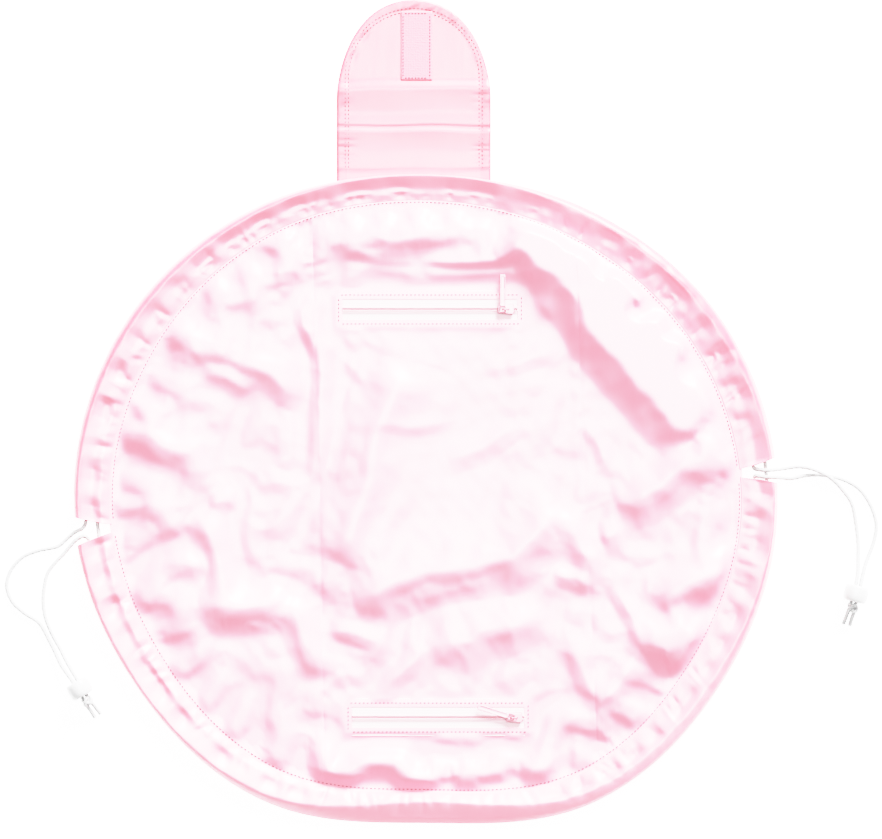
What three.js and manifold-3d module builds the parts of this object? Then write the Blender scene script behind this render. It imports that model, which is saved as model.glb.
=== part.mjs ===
// A round drawstring pouch of pink satin, spread open and lying flat.
// Millimetres, +Z up, +Y towards the flap; the origin is the middle of the disc, on the surface it lies on.
import * as THREE from 'three';
import { mergeVertices } from 'three/addons/utils/BufferGeometryUtils.js';
import Module from 'manifold-3d';

const wasm = await Module();
wasm.setup();

// Cloth walls and the gap that neighbouring pieces keep
const CLEARANCE = 0.3;
const SHELL_WALL = 1.2;
const LINING_WALL = 1.0;
const CASING_WALL = 1.2;

// Rim of the spread disc, a row for each 30 degrees counter-clockwise from +X: outer radius, width and
// height of the drawstring casing, place of its crest as a share of the width, and strength of its gathers
const RIM_STEP = 30;
const RIM = [
  { angle: 0, radius: 260, width: 27, height: 15, crest: 0.55, gather: 1.0 },
  { angle: 30, radius: 256, width: 27, height: 15, crest: 0.58, gather: 1.0 },
  { angle: 60, radius: 246, width: 23, height: 14.5, crest: 0.62, gather: 0.7 },
  { angle: 90, radius: 240, width: 18.5, height: 14, crest: 0.66, gather: 0.2 },
  { angle: 120, radius: 250, width: 22, height: 14.5, crest: 0.62, gather: 0.9 },
  { angle: 150, radius: 258, width: 27, height: 15, crest: 0.58, gather: 1.0 },
  { angle: 180, radius: 260, width: 27, height: 15, crest: 0.55, gather: 1.0 },
  { angle: 210, radius: 254, width: 26, height: 15, crest: 0.52, gather: 0.8 },
  { angle: 240, radius: 253, width: 25, height: 15, crest: 0.48, gather: 0.6 },
  { angle: 270, radius: 239, width: 24, height: 15, crest: 0.45, gather: 0.3 },
  { angle: 300, radius: 256, width: 25, height: 15, crest: 0.48, gather: 0.6 },
  { angle: 330, radius: 257, width: 27, height: 15, crest: 0.52, gather: 0.8 },
];

// Section of the casing: corners as shares of its width (from the stitch line outwards) and of its height
const CASING_SECTION = [
  { across: 0.06, up: 0 },
  { across: 0.84, up: 0 },
  { across: 1.0, up: 0.32 },
  { across: 0.92, up: 0.76 },
  { across: 'crest', up: 1.0 },
  { across: 0.2, up: 0.74 },
  { across: 0, up: 0.16 },
];
const CASING_STEPS = 56;
const GATHER_HEIGHT = 0.08;
const GATHER_REACH = 1.2;

// Notches where the casing's two halves stop and the cords come out: half angles at stitch line and edge
const NOTCH_RIGHT = { angle: 4.9, innerHalf: 0.7, outerHalf: 2.05 };
const NOTCH_LEFT = { angle: 185.1, innerHalf: 0.7, outerHalf: 2.3 };

// Lining: heights of its underside at the stitch line and inside it, and the run between the two
const LINING_EDGE_LEVEL = 1.5;
const LINING_LEVEL = 3.5;
const LINING_RISE_RUN = 30;
const STITCH_GAP = 0.35;
const SEAM_LEFT = { middle: -79, lean: -0.023 };
const SEAM_RIGHT = { middle: 118, lean: -0.045 };
const CENTRE_GRID = { across: 14, along: 26 };
const LEFT_GRID = { across: 9, along: 26 };
const RIGHT_GRID = { across: 7, along: 26 };

// Folds of the lining: crest from one point to another, height, and its run to the left and right of the
// way it goes. The steep sides face the viewer.
const FOLD_LIMIT = 6.5;
const FOLD_END = 12;
const FOLDS = [
  { name: 'upper right diagonal', from: [75, 204], to: [203, 41], height: 9, left: 36, right: 28 },
  { name: 'crease beside the upper slider', from: [74, 189], to: [91, 132], height: 2.5, left: 6, right: 6 },
  { name: 'right wedge', from: [120, -11], to: [199, 38], height: 7, left: 30, right: 14 },
  { name: 'right outer crease', from: [192, 102], to: [215, 38], height: 3, left: 9, right: 9 },
  { name: 'right thin ridge', from: [138, -61], to: [159, -111], height: 4, left: 8, right: 10 },
  { name: 'right shelf', from: [166, -83], to: [226, -58], height: 6, left: 22, right: 14 },
  { name: 'lower right dome', from: [158, -110], to: [212, -107], height: 7, left: 12, right: 30 },
  { name: 'lower right valley edge', from: [95, -111], to: [132, -152], height: 4, left: 20, right: 10 },
  { name: 'long ridge, left part', from: [-64, -72], to: [18, -42], height: 6, left: 40, right: 14 },
  { name: 'long ridge, right part', from: [18, -42], to: [103, -10], height: 8, left: 40, right: 32 },
  { name: 'long ridge, end', from: [107, -12], to: [123, -58], height: 5, left: 12, right: 14 },
  { name: 'small lens', from: [-78, -96], to: [-30, -107], height: 3.5, left: 12, right: 9 },
  { name: 'second ridge', from: [-1, -108], to: [88, -90], height: 4, left: 25, right: 16 },
  { name: 'second ridge, tail', from: [-1, -108], to: [-34, -138], height: 3, left: 10, right: 15 },
  { name: 'hollow beside the left seam', from: [-60, 85], to: [-74, -44], height: 4, left: 26, right: 14 },
  { name: 'left seam roll', from: [-91, 148], to: [-86, 30], height: 4, left: 7, right: 25 },
  { name: 'upper left diagonal', from: [-193, 132], to: [-90, 75], height: 7, left: 30, right: 15 },
  { name: 'left middle fold', from: [-226, 55], to: [-149, 16], height: 5, left: 24, right: 14 },
  { name: 'left short fold', from: [-213, 0], to: [-181, -44], height: 4, left: 20, right: 10 },
  { name: 'left thin fold', from: [-171, -9], to: [-149, -75], height: 4, left: 18, right: 9 },
  { name: 'left small fold', from: [-195, -47], to: [-160, -58], height: 4, left: 14, right: 9 },
  { name: 'lower left shelf', from: [-215, -76], to: [-106, -77], height: 7, left: 22, right: 18 },
  { name: 'lower left shelf, tail', from: [-108, -78], to: [-75, -124], height: 5, left: 18, right: 14 },
  { name: 'fold above the upper zip', from: [21, 180], to: [88, 178], height: 4, left: 15, right: 12 },
  { name: 'fold above the upper zip, left', from: [-60, 194], to: [-1, 192], height: 3, left: 10, right: 12 },
  { name: 'bottom roll', from: [-82, -184], to: [33, -196], height: 5, left: 14, right: 16 },
  { name: 'bottom roll, right', from: [88, -183], to: [136, -179], height: 5, left: 14, right: 16 },
];

// Zips: middle and length of each window in the lining, place of the slider's middle, direction of its pull
const ZIP_WINDOW_WIDTH = 17;
const ZIP_UPPER = {
  name: 'zip_upper', x: 3, y: 141, length: 131, slider: 59, pullDirection: 90, onLeg: true,
};
const ZIP_LOWER = {
  name: 'zip_lower', x: 9, y: -160.5, length: 129, slider: 65, pullDirection: 163, onLeg: false,
};
const ZIP_FLAT = 10;
const ZIP_FADE = 20;
const TAPE = { halfWidth: 14, bottom: 2.6, top: 3.2 };
const COIL = { inner: 0.55, outer: 2.15, top: 4.8 };
const SLIDER = { length: 12, width: 7.5, plate: 1.0, flange: 1.0, lowerPlate: 0.8, postLength: 2, post: 0.5 };
const BRIDGE = { leg: 2.4, legLength: 0.8, width: 1.0, clearHeight: 1.65, bar: 0.7 };
const PULL = {
  reach: 28, halfWidth: 2.1, eyeHalfWidth: 2.4, strip: 1.0, hole: 3.4, holeHalfWidth: 1.6, thick: 0.8,
};
const PULL_LEVEL = 6.5;

// Flap: straight sides from the rim and a round end, with soft creases across it
const FLAP = { x: -9, radius: 57, roundCentre: 313, underRim: 0.9, wall: 1.4, edgeRoll: 0.8, edgeRun: 8 };
const FLAP_GRID = { across: 10, along: 14 };
const FLAP_CREASES = [
  { name: 'main crease', y: 277, height: 2.2, run: 7 },
  { name: 'second crease', y: 262, height: 1.4, run: 5 },
];
const HOOK_STRIP = { x: -7, y: 336, width: 23, length: 51, wall: 1.2 };

// Drawstrings: one cord comes out at each notch, both run right round inside the casing
const CORD_RADIUS = 1.5;
const CORD_SIDES = 8;
const CORD_LEVEL = 3.3;
const LYING = 1.7;
const OUTER_LANE = 0.72;
const INNER_LANE = 0.4;
const RUN_STEPS = 40;
const BEAD = { radius: 9, shoulder: 7, waist: 8.6, halfLength: 6.25, bore: 4.2, lane: 1.8 };
const BEAD_LEFT = { x: -255.3, y: -138.8, direction: -58.5 };
const BEAD_RIGHT = { x: 317, y: -68.8, direction: -104.5 };
const KNOT = { radius: 4, stretch: 1.25, tailSpread: 2.1, tailReach: 13 };

// Free strands from the mouth of the casing to the bead: x, y and height
const STRAND_LEFT_UPPER = [
  [-253.5, -20.4, 3.2], [-260, -24, 2.6], [-266, -29, LYING], [-272, -34, LYING], [-287, -37.5, LYING],
  [-298, -42, LYING], [-307, -52, LYING], [-310, -63.5, LYING], [-306, -75, LYING],
  [-297, -83.5, LYING], [-286, -91, LYING], [-279, -103, 2], [-274, -112.5, 3.2], [-269.5, -121.5, 5.4],
];
const STRAND_LEFT_LOWER = [
  [-253, -26.6, 3.2], [-258.5, -29.4, 3], [-263.5, -34.6, 2.2], [-268.5, -40.4, LYING],
  [-274, -46, LYING], [-279.5, -53.5, LYING], [-282, -63, LYING], [-283, -74, LYING],
  [-282, -84, LYING], [-280, -91, LYING], [-275.5, -101, 2], [-270, -110.5, 3.2], [-265.5, -119, 5.4],
];
const STRAND_RIGHT_UPPER = [
  [246, 22.6, 4.6], [249.5, 22.2, 6.5], [253.5, 22.2, 7], [258.5, 22.6, 5.6], [264, 23.2, 3.2],
  [274, 24.6, 2.4], [283, 23.6, 4.6], [293, 19.8, 5.6], [300, 15.5, 4.4], [307.5, 8, 2],
  [314.5, -2, LYING], [318, -18, LYING], [319.5, -33, 2.4], [319.2, -44, 4.4], [318.6, -53, 7],
];
const STRAND_RIGHT_LOWER = [
  [246, 17.6, 4.6], [249.5, 17.2, 6.5], [253.5, 17, 7], [258.5, 16.8, 5.4], [264, 16.4, 3],
  [270, 16, LYING], [283, 18.4, LYING], [297, 18, LYING], [311, 14, LYING], [320.5, 8, LYING],
  [328.5, -3.5, LYING], [333, -18, LYING], [331, -31, 2.2], [325.8, -44, 4.4], [322.8, -53, 7],
];

const DEGREE = Math.PI / 180;

// Colours and finish of the materials
const MATERIALS = {
  satin: { color: 0xf7c9d8, roughness: 0.45, metalness: 0 },
  hookTape: { color: 0xf9dbe5, roughness: 0.9, metalness: 0 },
  zipTape: { color: 0xfdf1f4, roughness: 0.8, metalness: 0 },
  metal: { color: 0xe8d2d8, roughness: 0.35, metalness: 0.4 },
  cord: { color: 0xf7f5f5, roughness: 0.8, metalness: 0 },
  bead: { color: 0xf8f8f7, roughness: 0.3, metalness: 0 },
};

// Smooth value of one column of the rim table at an angle in degrees
function rimValue(angle, column) {
  const place = THREE.MathUtils.euclideanModulo(angle, 360) / RIM_STEP;
  const index = Math.floor(place);
  const t = place - index;
  const [a, b, c, d] = [-1, 0, 1, 2].map((shift) => RIM[(index + shift + RIM.length) % RIM.length][column]);
  const cubic = ((3 * (b - c) + d - a) * t + 2 * a - 5 * b + 4 * c - d) * t + c - a;
  return b + 0.5 * t * cubic;
}

function stitchRadius(angle) {
  return rimValue(angle, 'radius') - rimValue(angle, 'width');
}

function laneRadius(angle, lane) {
  return stitchRadius(angle) + lane * rimValue(angle, 'width');
}

function polar(radius, angle, z) {
  return new THREE.Vector3(radius * Math.cos(angle * DEGREE), radius * Math.sin(angle * DEGREE), z);
}

function notchHalf(notch, share) {
  return THREE.MathUtils.lerp(notch.innerHalf, notch.outerHalf, share);
}

// Closed geometry from triangles of points, with shared points merged and empty triangles dropped
function geometryFrom(triangles) {
  const soup = new THREE.BufferGeometry().setFromPoints(triangles.flat());
  const merged = mergeVertices(soup, 1e-4);
  const index = merged.getIndex().array;
  const kept = [];
  for (let i = 0; i < index.length; i += 3) {
    const [a, b, c] = index.slice(i, i + 3);
    if (a !== b && b !== c && c !== a) kept.push(a, b, c);
  }
  merged.setIndex(kept);
  merged.computeVertexNormals();
  return merged;
}

function quad(a, b, c, d) {
  return [[a, b, c], [a, c, d]];
}

// Sheet of cloth over a grid: the upper points, and the same points one wall lower
function sheet(across, along, pointAt, wall) {
  const top = [];
  const bottom = [];
  for (let j = 0; j <= along; j += 1) {
    const row = [];
    for (let i = 0; i <= across; i += 1) row.push(pointAt(i / across, j / along));
    top.push(row);
    bottom.push(row.map((point) => new THREE.Vector3(point.x, point.y, point.z - wall(point))));
  }
  const triangles = [];
  for (let j = 0; j < along; j += 1) {
    for (let i = 0; i < across; i += 1) {
      triangles.push(...quad(top[j][i], top[j][i + 1], top[j + 1][i + 1], top[j + 1][i]));
      triangles.push(...quad(bottom[j][i], bottom[j + 1][i], bottom[j + 1][i + 1], bottom[j][i + 1]));
    }
    triangles.push(...quad(top[j][0], top[j + 1][0], bottom[j + 1][0], bottom[j][0]));
    triangles.push(...quad(top[j][across], bottom[j][across], bottom[j + 1][across], top[j + 1][across]));
  }
  for (let i = 0; i < across; i += 1) {
    triangles.push(...quad(top[0][i], bottom[0][i], bottom[0][i + 1], top[0][i + 1]));
    triangles.push(...quad(top[along][i], top[along][i + 1], bottom[along][i + 1], bottom[along][i]));
  }
  return geometryFrom(triangles);
}

// Hollow tunnel through sections that each have an outer and an inner loop, open at both ends
function tunnel(sections) {
  const triangles = [];
  const count = sections[0].outer.length;
  for (let k = 0; k < count; k += 1) {
    const next = (k + 1) % count;
    for (let s = 0; s + 1 < sections.length; s += 1) {
      const here = sections[s];
      const there = sections[s + 1];
      triangles.push(...quad(here.outer[k], there.outer[k], there.outer[next], here.outer[next]));
      triangles.push(...quad(here.inner[k], here.inner[next], there.inner[next], there.inner[k]));
    }
    const first = sections[0];
    const last = sections[sections.length - 1];
    triangles.push(...quad(first.outer[k], first.outer[next], first.inner[next], first.inner[k]));
    triangles.push(...quad(last.outer[k], last.inner[k], last.inner[next], last.outer[next]));
  }
  return geometryFrom(triangles);
}

// Convex loop of section corners moved inwards by a wall
function inset(loop, wall) {
  const normals = loop.map((corner, k) => {
    const along = loop[(k + 1) % loop.length].clone().sub(corner).normalize();
    return new THREE.Vector2(-along.y, along.x);
  });
  return loop.map((corner, k) => {
    const before = normals[(k + loop.length - 1) % loop.length];
    const middle = before.clone().add(normals[k]);
    return corner.clone().addScaledVector(middle, wall / (1 + before.dot(normals[k])));
  });
}

function manifoldFrom(geometry) {
  const plain = geometry.clone();
  plain.deleteAttribute('normal');
  plain.deleteAttribute('uv');
  const merged = mergeVertices(plain, 1e-4);
  const vertProperties = new Float32Array(merged.getAttribute('position').array);
  const triVerts = new Uint32Array(merged.getIndex().array);
  return new wasm.Manifold(new wasm.Mesh({ numProp: 3, vertProperties, triVerts }));
}

function geometryOf(manifold) {
  const { vertProperties, triVerts } = manifold.getMesh();
  const geometry = new THREE.BufferGeometry();
  geometry.setAttribute('position', new THREE.BufferAttribute(vertProperties, 3));
  geometry.setIndex(new THREE.BufferAttribute(triVerts, 1));
  geometry.computeVertexNormals();
  return geometry;
}

function joined(geometries) {
  return geometryOf(geometries.map(manifoldFrom).reduce((sum, piece) => sum.add(piece)));
}

// Box between two corners
function box([x0, y0, z0], [x1, y1, z1]) {
  const geometry = new THREE.BoxGeometry(x1 - x0, y1 - y0, z1 - z0);
  return geometry.translate((x0 + x1) / 2, (y0 + y1) / 2, (z0 + z1) / 2);
}

function piece(name, geometry, finish) {
  const mesh = new THREE.Mesh(geometry, new THREE.MeshStandardMaterial(MATERIALS[finish]));
  mesh.name = name;
  return mesh;
}

// Tube along a list of points
function tube(points, steps) {
  const section = new THREE.Shape().absarc(0, 0, CORD_RADIUS, 0, 2 * Math.PI, false);
  const extrudePath = new THREE.CatmullRomCurve3(points);
  return new THREE.ExtrudeGeometry(section, { extrudePath, steps, curveSegments: CORD_SIDES / 2 });
}

// Outer layer: a flat disc that ends at the stitch line of the casing
function makeShell() {
  const steps = 72;
  const outline = [];
  for (let i = 0; i < steps; i += 1) {
    const angle = (i * 360) / steps;
    const edge = polar(stitchRadius(angle) - STITCH_GAP, angle, 0);
    outline.push(new THREE.Vector2(edge.x, edge.y));
  }
  const plan = new THREE.Shape(outline);
  const disc = new THREE.ExtrudeGeometry(plan, { depth: SHELL_WALL, bevelEnabled: false });
  return piece('shell', disc, 'satin');
}

// Half of the gathered drawstring casing, from one notch counter-clockwise to the other
function makeCasing(name, startNotch, endNotch, endAngle) {
  const sections = [];
  for (let step = 0; step <= CASING_STEPS; step += 1) {
    const share = step / CASING_STEPS;
    const middle = THREE.MathUtils.lerp(startNotch.angle, endAngle, share);
    const rim = (column) => rimValue(middle, column);
    const swing = (step % 2 === 0 ? 1 : -1) * rim('gather');
    const width = rim('width') + swing * GATHER_REACH;
    const height = rim('height') * (1 + swing * GATHER_HEIGHT);
    const loop = CASING_SECTION.map(({ across, up }) => {
      const place = across === 'crest' ? rim('crest') : across;
      return new THREE.Vector2(place * width, up * height);
    });
    const place = (corner) => {
      const outward = corner.x / width;
      const start = startNotch.angle + notchHalf(startNotch, outward);
      const end = endAngle - notchHalf(endNotch, outward);
      return polar(stitchRadius(middle) + corner.x, THREE.MathUtils.lerp(start, end, share), corner.y);
    };
    sections.push({ outer: loop.map(place), inner: inset(loop, CASING_WALL).map(place) });
  }
  return piece(name, tunnel(sections), 'satin');
}

// Height of one fold at a point: a crest with its own run on either side and soft ends
function ridge({ from, to, height, left, right }, x, y) {
  const length = Math.hypot(to[0] - from[0], to[1] - from[1]);
  const [ux, uy] = [(to[0] - from[0]) / length, (to[1] - from[1]) / length];
  const along = (x - from[0]) * ux + (y - from[1]) * uy;
  const aside = (y - from[1]) * ux - (x - from[0]) * uy;
  const past = Math.max(0, -along, along - length);
  const run = aside > 0 ? left : right;
  return height * Math.exp(-((aside / run) ** 2) - (past / FOLD_END) ** 2);
}

// Share of the folds that is left beside a zip, none close to its window
function besideZip(zip, x, y) {
  const outX = Math.max(0, Math.abs(x - zip.x) - zip.length / 2);
  const outY = Math.max(0, Math.abs(y - zip.y) - ZIP_WINDOW_WIDTH / 2);
  return THREE.MathUtils.smoothstep(Math.hypot(outX, outY), ZIP_FLAT, ZIP_FLAT + ZIP_FADE);
}

// Upper side of the lining
function liningTop(x, y) {
  const angle = Math.atan2(y, x) / DEGREE;
  const inside = stitchRadius(angle) - Math.hypot(x, y);
  const rise = THREE.MathUtils.smoothstep(inside, 0, LINING_RISE_RUN);
  const folds = FOLDS.reduce((sum, fold) => sum + ridge(fold, x, y), 0);
  const quiet = besideZip(ZIP_UPPER, x, y) * besideZip(ZIP_LOWER, x, y);
  const height = FOLD_LIMIT * Math.tanh(folds / FOLD_LIMIT) * quiet * rise;
  const level = THREE.MathUtils.lerp(LINING_EDGE_LEVEL, LINING_LEVEL, rise);
  return new THREE.Vector3(x, y, level + height + LINING_WALL);
}

function seamX(seam, y) {
  return seam.middle + seam.lean * y;
}

function liningRadius(angle) {
  return stitchRadius(angle) - STITCH_GAP;
}

// Angle at which a seam, moved aside by half the gap, meets the lining's round edge
function seamAngle(seam, shift, low, high) {
  const beyond = (angle) => {
    const point = polar(liningRadius(angle), angle, 0);
    return point.x - seamX(seam, point.y) - shift;
  };
  const sign = Math.sign(beyond(low));
  for (let i = 0; i < 40; i += 1) {
    const middle = (low + high) / 2;
    if (Math.sign(beyond(middle)) === sign) low = middle;
    else high = middle;
  }
  return low;
}

// Side panel of the lining between a seam and the round edge, from one corner to the other
function sidePanel(name, seam, shift, [startLow, startHigh], [endLow, endHigh], grid) {
  const start = seamAngle(seam, shift, startLow, startHigh);
  const end = seamAngle(seam, shift, endLow, endHigh);
  const corners = [start, end].map((angle) => polar(liningRadius(angle), angle, 0));
  const pointAt = (across, along) => {
    const angle = THREE.MathUtils.lerp(start, end, along);
    const edge = polar(liningRadius(angle), angle, 0);
    const chord = corners[0].clone().lerp(corners[1], along);
    const point = chord.lerp(edge, across);
    return liningTop(point.x, point.y);
  };
  return piece(name, sheet(grid.across, grid.along, pointAt, () => LINING_WALL), 'satin');
}

// Y of the lining's round edge above or below a given X
function edgeY(x, side) {
  let y = side * 200;
  for (let i = 0; i < 30; i += 1) {
    const angle = Math.atan2(y, x) / DEGREE;
    y = side * Math.sqrt(liningRadius(angle) ** 2 - x ** 2);
  }
  return y;
}

function zipWindow(zip) {
  const halfLength = zip.length / 2;
  const halfWidth = ZIP_WINDOW_WIDTH / 2;
  const corner = [zip.x - halfLength, zip.y - halfWidth, SHELL_WALL];
  return box(corner, [zip.x + halfLength, zip.y + halfWidth, 3 * LINING_LEVEL]);
}

// Centre panel of the lining between the two seams, with a window cut for each zip
function makeCentrePanel() {
  const pointAt = (across, along) => {
    const ends = [-1, 1].map((side) => {
      const leftX = seamX(SEAM_LEFT, side * 200) + CLEARANCE / 2;
      const rightX = seamX(SEAM_RIGHT, side * 200) - CLEARANCE / 2;
      const x = THREE.MathUtils.lerp(leftX, rightX, across);
      return new THREE.Vector2(x, edgeY(x, side));
    });
    const point = ends[0].lerp(ends[1], along);
    return liningTop(point.x, point.y);
  };
  const panel = sheet(CENTRE_GRID.across, CENTRE_GRID.along, pointAt, () => LINING_WALL);
  const windows = [ZIP_UPPER, ZIP_LOWER].map((zip) => manifoldFrom(zipWindow(zip)));
  const cut = windows.reduce((body, window) => body.subtract(window), manifoldFrom(panel));
  return piece('lining_centre', geometryOf(cut), 'satin');
}

// One half of a zip: a strip of tape with its half of the coil along the inner edge
function makeTapeHalf(name, zip, side) {
  const profile = new THREE.Shape([
    new THREE.Vector2(side * COIL.inner, TAPE.bottom),
    new THREE.Vector2(side * TAPE.halfWidth, TAPE.bottom),
    new THREE.Vector2(side * TAPE.halfWidth, TAPE.top),
    new THREE.Vector2(side * COIL.outer, TAPE.top),
    new THREE.Vector2(side * COIL.outer, COIL.top),
    new THREE.Vector2(side * COIL.inner, COIL.top),
  ]);
  const depth = zip.length - 2 * CLEARANCE;
  const strip = new THREE.ExtrudeGeometry(profile, { depth, bevelEnabled: false });
  strip.rotateX(Math.PI / 2).rotateZ(Math.PI / 2);
  const mesh = piece(name, strip, 'zipTape');
  mesh.position.set(zip.x - depth / 2, zip.y, 0);
  return mesh;
}

// Slider: plates above and below the coil, side flanges, a thin post between the halves, and a bridge
function makeSlider(name, zip) {
  const halfLength = SLIDER.length / 2;
  const halfWidth = SLIDER.width / 2;
  const plateBottom = COIL.top + CLEARANCE;
  const plateTop = plateBottom + SLIDER.plate;
  const lowerTop = TAPE.bottom - CLEARANCE;
  const lowerBottom = lowerTop - SLIDER.lowerPlate;
  const flangeInner = halfWidth - SLIDER.flange;
  const flangeBottom = TAPE.top + CLEARANCE;
  const barBottom = plateTop + BRIDGE.clearHeight;
  const barTop = barBottom + BRIDGE.bar;
  const legOut = BRIDGE.leg + BRIDGE.legLength / 2;
  const legIn = BRIDGE.leg - BRIDGE.legLength / 2;
  const bridgeHalf = BRIDGE.width / 2;
  const postHalf = SLIDER.post / 2;
  const body = joined([
    box([-halfLength, -halfWidth, plateBottom], [halfLength, halfWidth, plateTop]),
    box([-halfLength, -halfWidth, lowerBottom], [halfLength, halfWidth, lowerTop]),
    box([-halfLength, flangeInner, flangeBottom], [halfLength, halfWidth, plateTop]),
    box([-halfLength, -halfWidth, flangeBottom], [halfLength, -flangeInner, plateTop]),
    box([halfLength - SLIDER.postLength, -postHalf, lowerBottom], [halfLength, postHalf, plateTop]),
    box([-legOut, -bridgeHalf, plateBottom], [-legIn, bridgeHalf, barTop]),
    box([legIn, -bridgeHalf, plateBottom], [legOut, bridgeHalf, barTop]),
    box([-legOut, -bridgeHalf, barBottom], [legOut, bridgeHalf, barTop]),
  ]);
  const mesh = piece(name, body, 'metal');
  mesh.position.set(zip.slider, zip.y, 0);
  return mesh;
}

// Pull: a flat strip with an eye at one end. Its origin is the middle of the eye's end strip.
function makePull(name, zip) {
  const eyeEnd = PULL.strip / 2 + PULL.hole + PULL.strip;
  const outline = new THREE.Shape();
  outline.moveTo(-PULL.strip / 2, -PULL.eyeHalfWidth);
  outline.lineTo(eyeEnd, -PULL.eyeHalfWidth);
  outline.lineTo(eyeEnd + PULL.strip, -PULL.halfWidth);
  outline.absarc(PULL.reach - PULL.halfWidth, 0, PULL.halfWidth, -Math.PI / 2, Math.PI / 2, false);
  outline.lineTo(eyeEnd + PULL.strip, PULL.halfWidth);
  outline.lineTo(eyeEnd, PULL.eyeHalfWidth);
  outline.lineTo(-PULL.strip / 2, PULL.eyeHalfWidth);
  const hole = new THREE.Path();
  hole.moveTo(PULL.strip / 2, -PULL.holeHalfWidth);
  hole.lineTo(PULL.strip / 2, PULL.holeHalfWidth);
  hole.lineTo(PULL.strip / 2 + PULL.hole, PULL.holeHalfWidth);
  hole.lineTo(PULL.strip / 2 + PULL.hole, -PULL.holeHalfWidth);
  outline.holes.push(hole);
  const extrusion = { depth: PULL.thick, bevelEnabled: false, curveSegments: 8 };
  const plate = new THREE.ExtrudeGeometry(outline, extrusion);
  const mesh = piece(name, plate, 'metal');
  const direction = new THREE.Vector2(1, 0).rotateAround(new THREE.Vector2(), zip.pullDirection * DEGREE);
  const eyeMiddle = (PULL.strip + PULL.hole) / 2;
  const origin = new THREE.Vector2(zip.slider, zip.y);
  if (zip.onLeg) origin.add(new THREE.Vector2(-BRIDGE.leg, 0)).addScaledVector(direction, -eyeMiddle);
  mesh.position.set(origin.x, origin.y, PULL_LEVEL);
  mesh.rotation.z = zip.pullDirection * DEGREE;
  return mesh;
}

// Flap: a panel with a rolled edge, from under the rim to its round end
function flapHalfWidth(y) {
  const past = Math.max(0, y - FLAP.roundCentre);
  return Math.sqrt(Math.max(0, FLAP.radius ** 2 - past ** 2));
}

function makeFlap() {
  const tip = FLAP.roundCentre + FLAP.radius;
  const rimY = (x) => {
    const angle = Math.atan2(rimValue(90, 'radius'), x) / DEGREE;
    return rimValue(angle, 'radius') * Math.sin(angle * DEGREE) - FLAP.underRim;
  };
  const height = (across, y, towardRim) => {
    const fromSide = (1 - Math.abs(across)) * flapHalfWidth(y);
    const fromEdge = Math.min(fromSide, tip - y);
    const roll = FLAP.edgeRoll * (1 - THREE.MathUtils.smoothstep(fromEdge, 0, FLAP.edgeRun));
    const crease = FLAP_CREASES.reduce((sum, row) => {
      return sum + row.height * Math.exp(-(((y - row.y) / row.run) ** 2));
    }, 0);
    return FLAP.wall + (roll + crease) * (1 - towardRim);
  };
  const pointAt = (share, along) => {
    const across = 2 * share - 1;
    const bend = Math.sin((along * Math.PI) / 2);
    const flatY = THREE.MathUtils.lerp(rimValue(90, 'radius'), tip, bend);
    const x = FLAP.x + across * flapHalfWidth(flatY);
    const towardRim = (1 - along) ** 3;
    const y = THREE.MathUtils.lerp(flatY, rimY(x), towardRim);
    return new THREE.Vector3(x, y, height(across, y, towardRim));
  };
  const wallAt = (point) => Math.min(point.z, 2 * FLAP.wall);
  const panel = sheet(FLAP_GRID.across, FLAP_GRID.along, pointAt, wallAt);
  return piece('flap', panel, 'satin');
}

// Strip of hook tape sewn on the flap
function makeHookStrip() {
  const bottom = FLAP.wall + CLEARANCE;
  const strip = new THREE.BoxGeometry(HOOK_STRIP.width, HOOK_STRIP.length, HOOK_STRIP.wall);
  const mesh = piece('hook_strip', strip, 'hookTape');
  mesh.position.set(HOOK_STRIP.x, HOOK_STRIP.y, bottom + HOOK_STRIP.wall / 2);
  return mesh;
}

// Drawstring inside the casing, from one side of its own notch right round to the other side
function makeCordRun(name, notch, lane) {
  const half = notchHalf(notch, lane);
  const points = [];
  for (let step = 0; step <= RUN_STEPS; step += 1) {
    const angle = THREE.MathUtils.lerp(notch.angle + half, notch.angle + 360 - half, step / RUN_STEPS);
    points.push(polar(laneRadius(angle, lane), angle, CORD_LEVEL));
  }
  return piece(name, tube(points, RUN_STEPS), 'cord');
}

// Free strand: from the casing's mouth along its route, then through its lane of the bead
function makeStrand(name, notch, lane, mouthSide, route, bead, beadSide, steps) {
  const mouthAngle = notch.angle + mouthSide * notchHalf(notch, lane);
  const mouth = polar(laneRadius(mouthAngle, lane), mouthAngle, CORD_LEVEL);
  const outward = polar(1, mouthAngle - 90 * mouthSide, 0);
  const start = [CLEARANCE, CORD_RADIUS * 1.6].map((reach) => mouth.clone().addScaledVector(outward, reach));
  const forward = polar(1, bead.direction, 0);
  const aside = polar(beadSide * BEAD.lane, bead.direction + 90, BEAD.radius);
  const inBead = (reach) => new THREE.Vector3(bead.x, bead.y, 0).addScaledVector(forward, reach).add(aside);
  const points = [...start, ...route.map((point) => new THREE.Vector3(...point))];
  points.push(inBead(-BEAD.halfLength - 1), inBead(0), inBead(BEAD.halfLength + CLEARANCE));
  return piece(name, tube(points, steps), 'cord');
}

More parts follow.
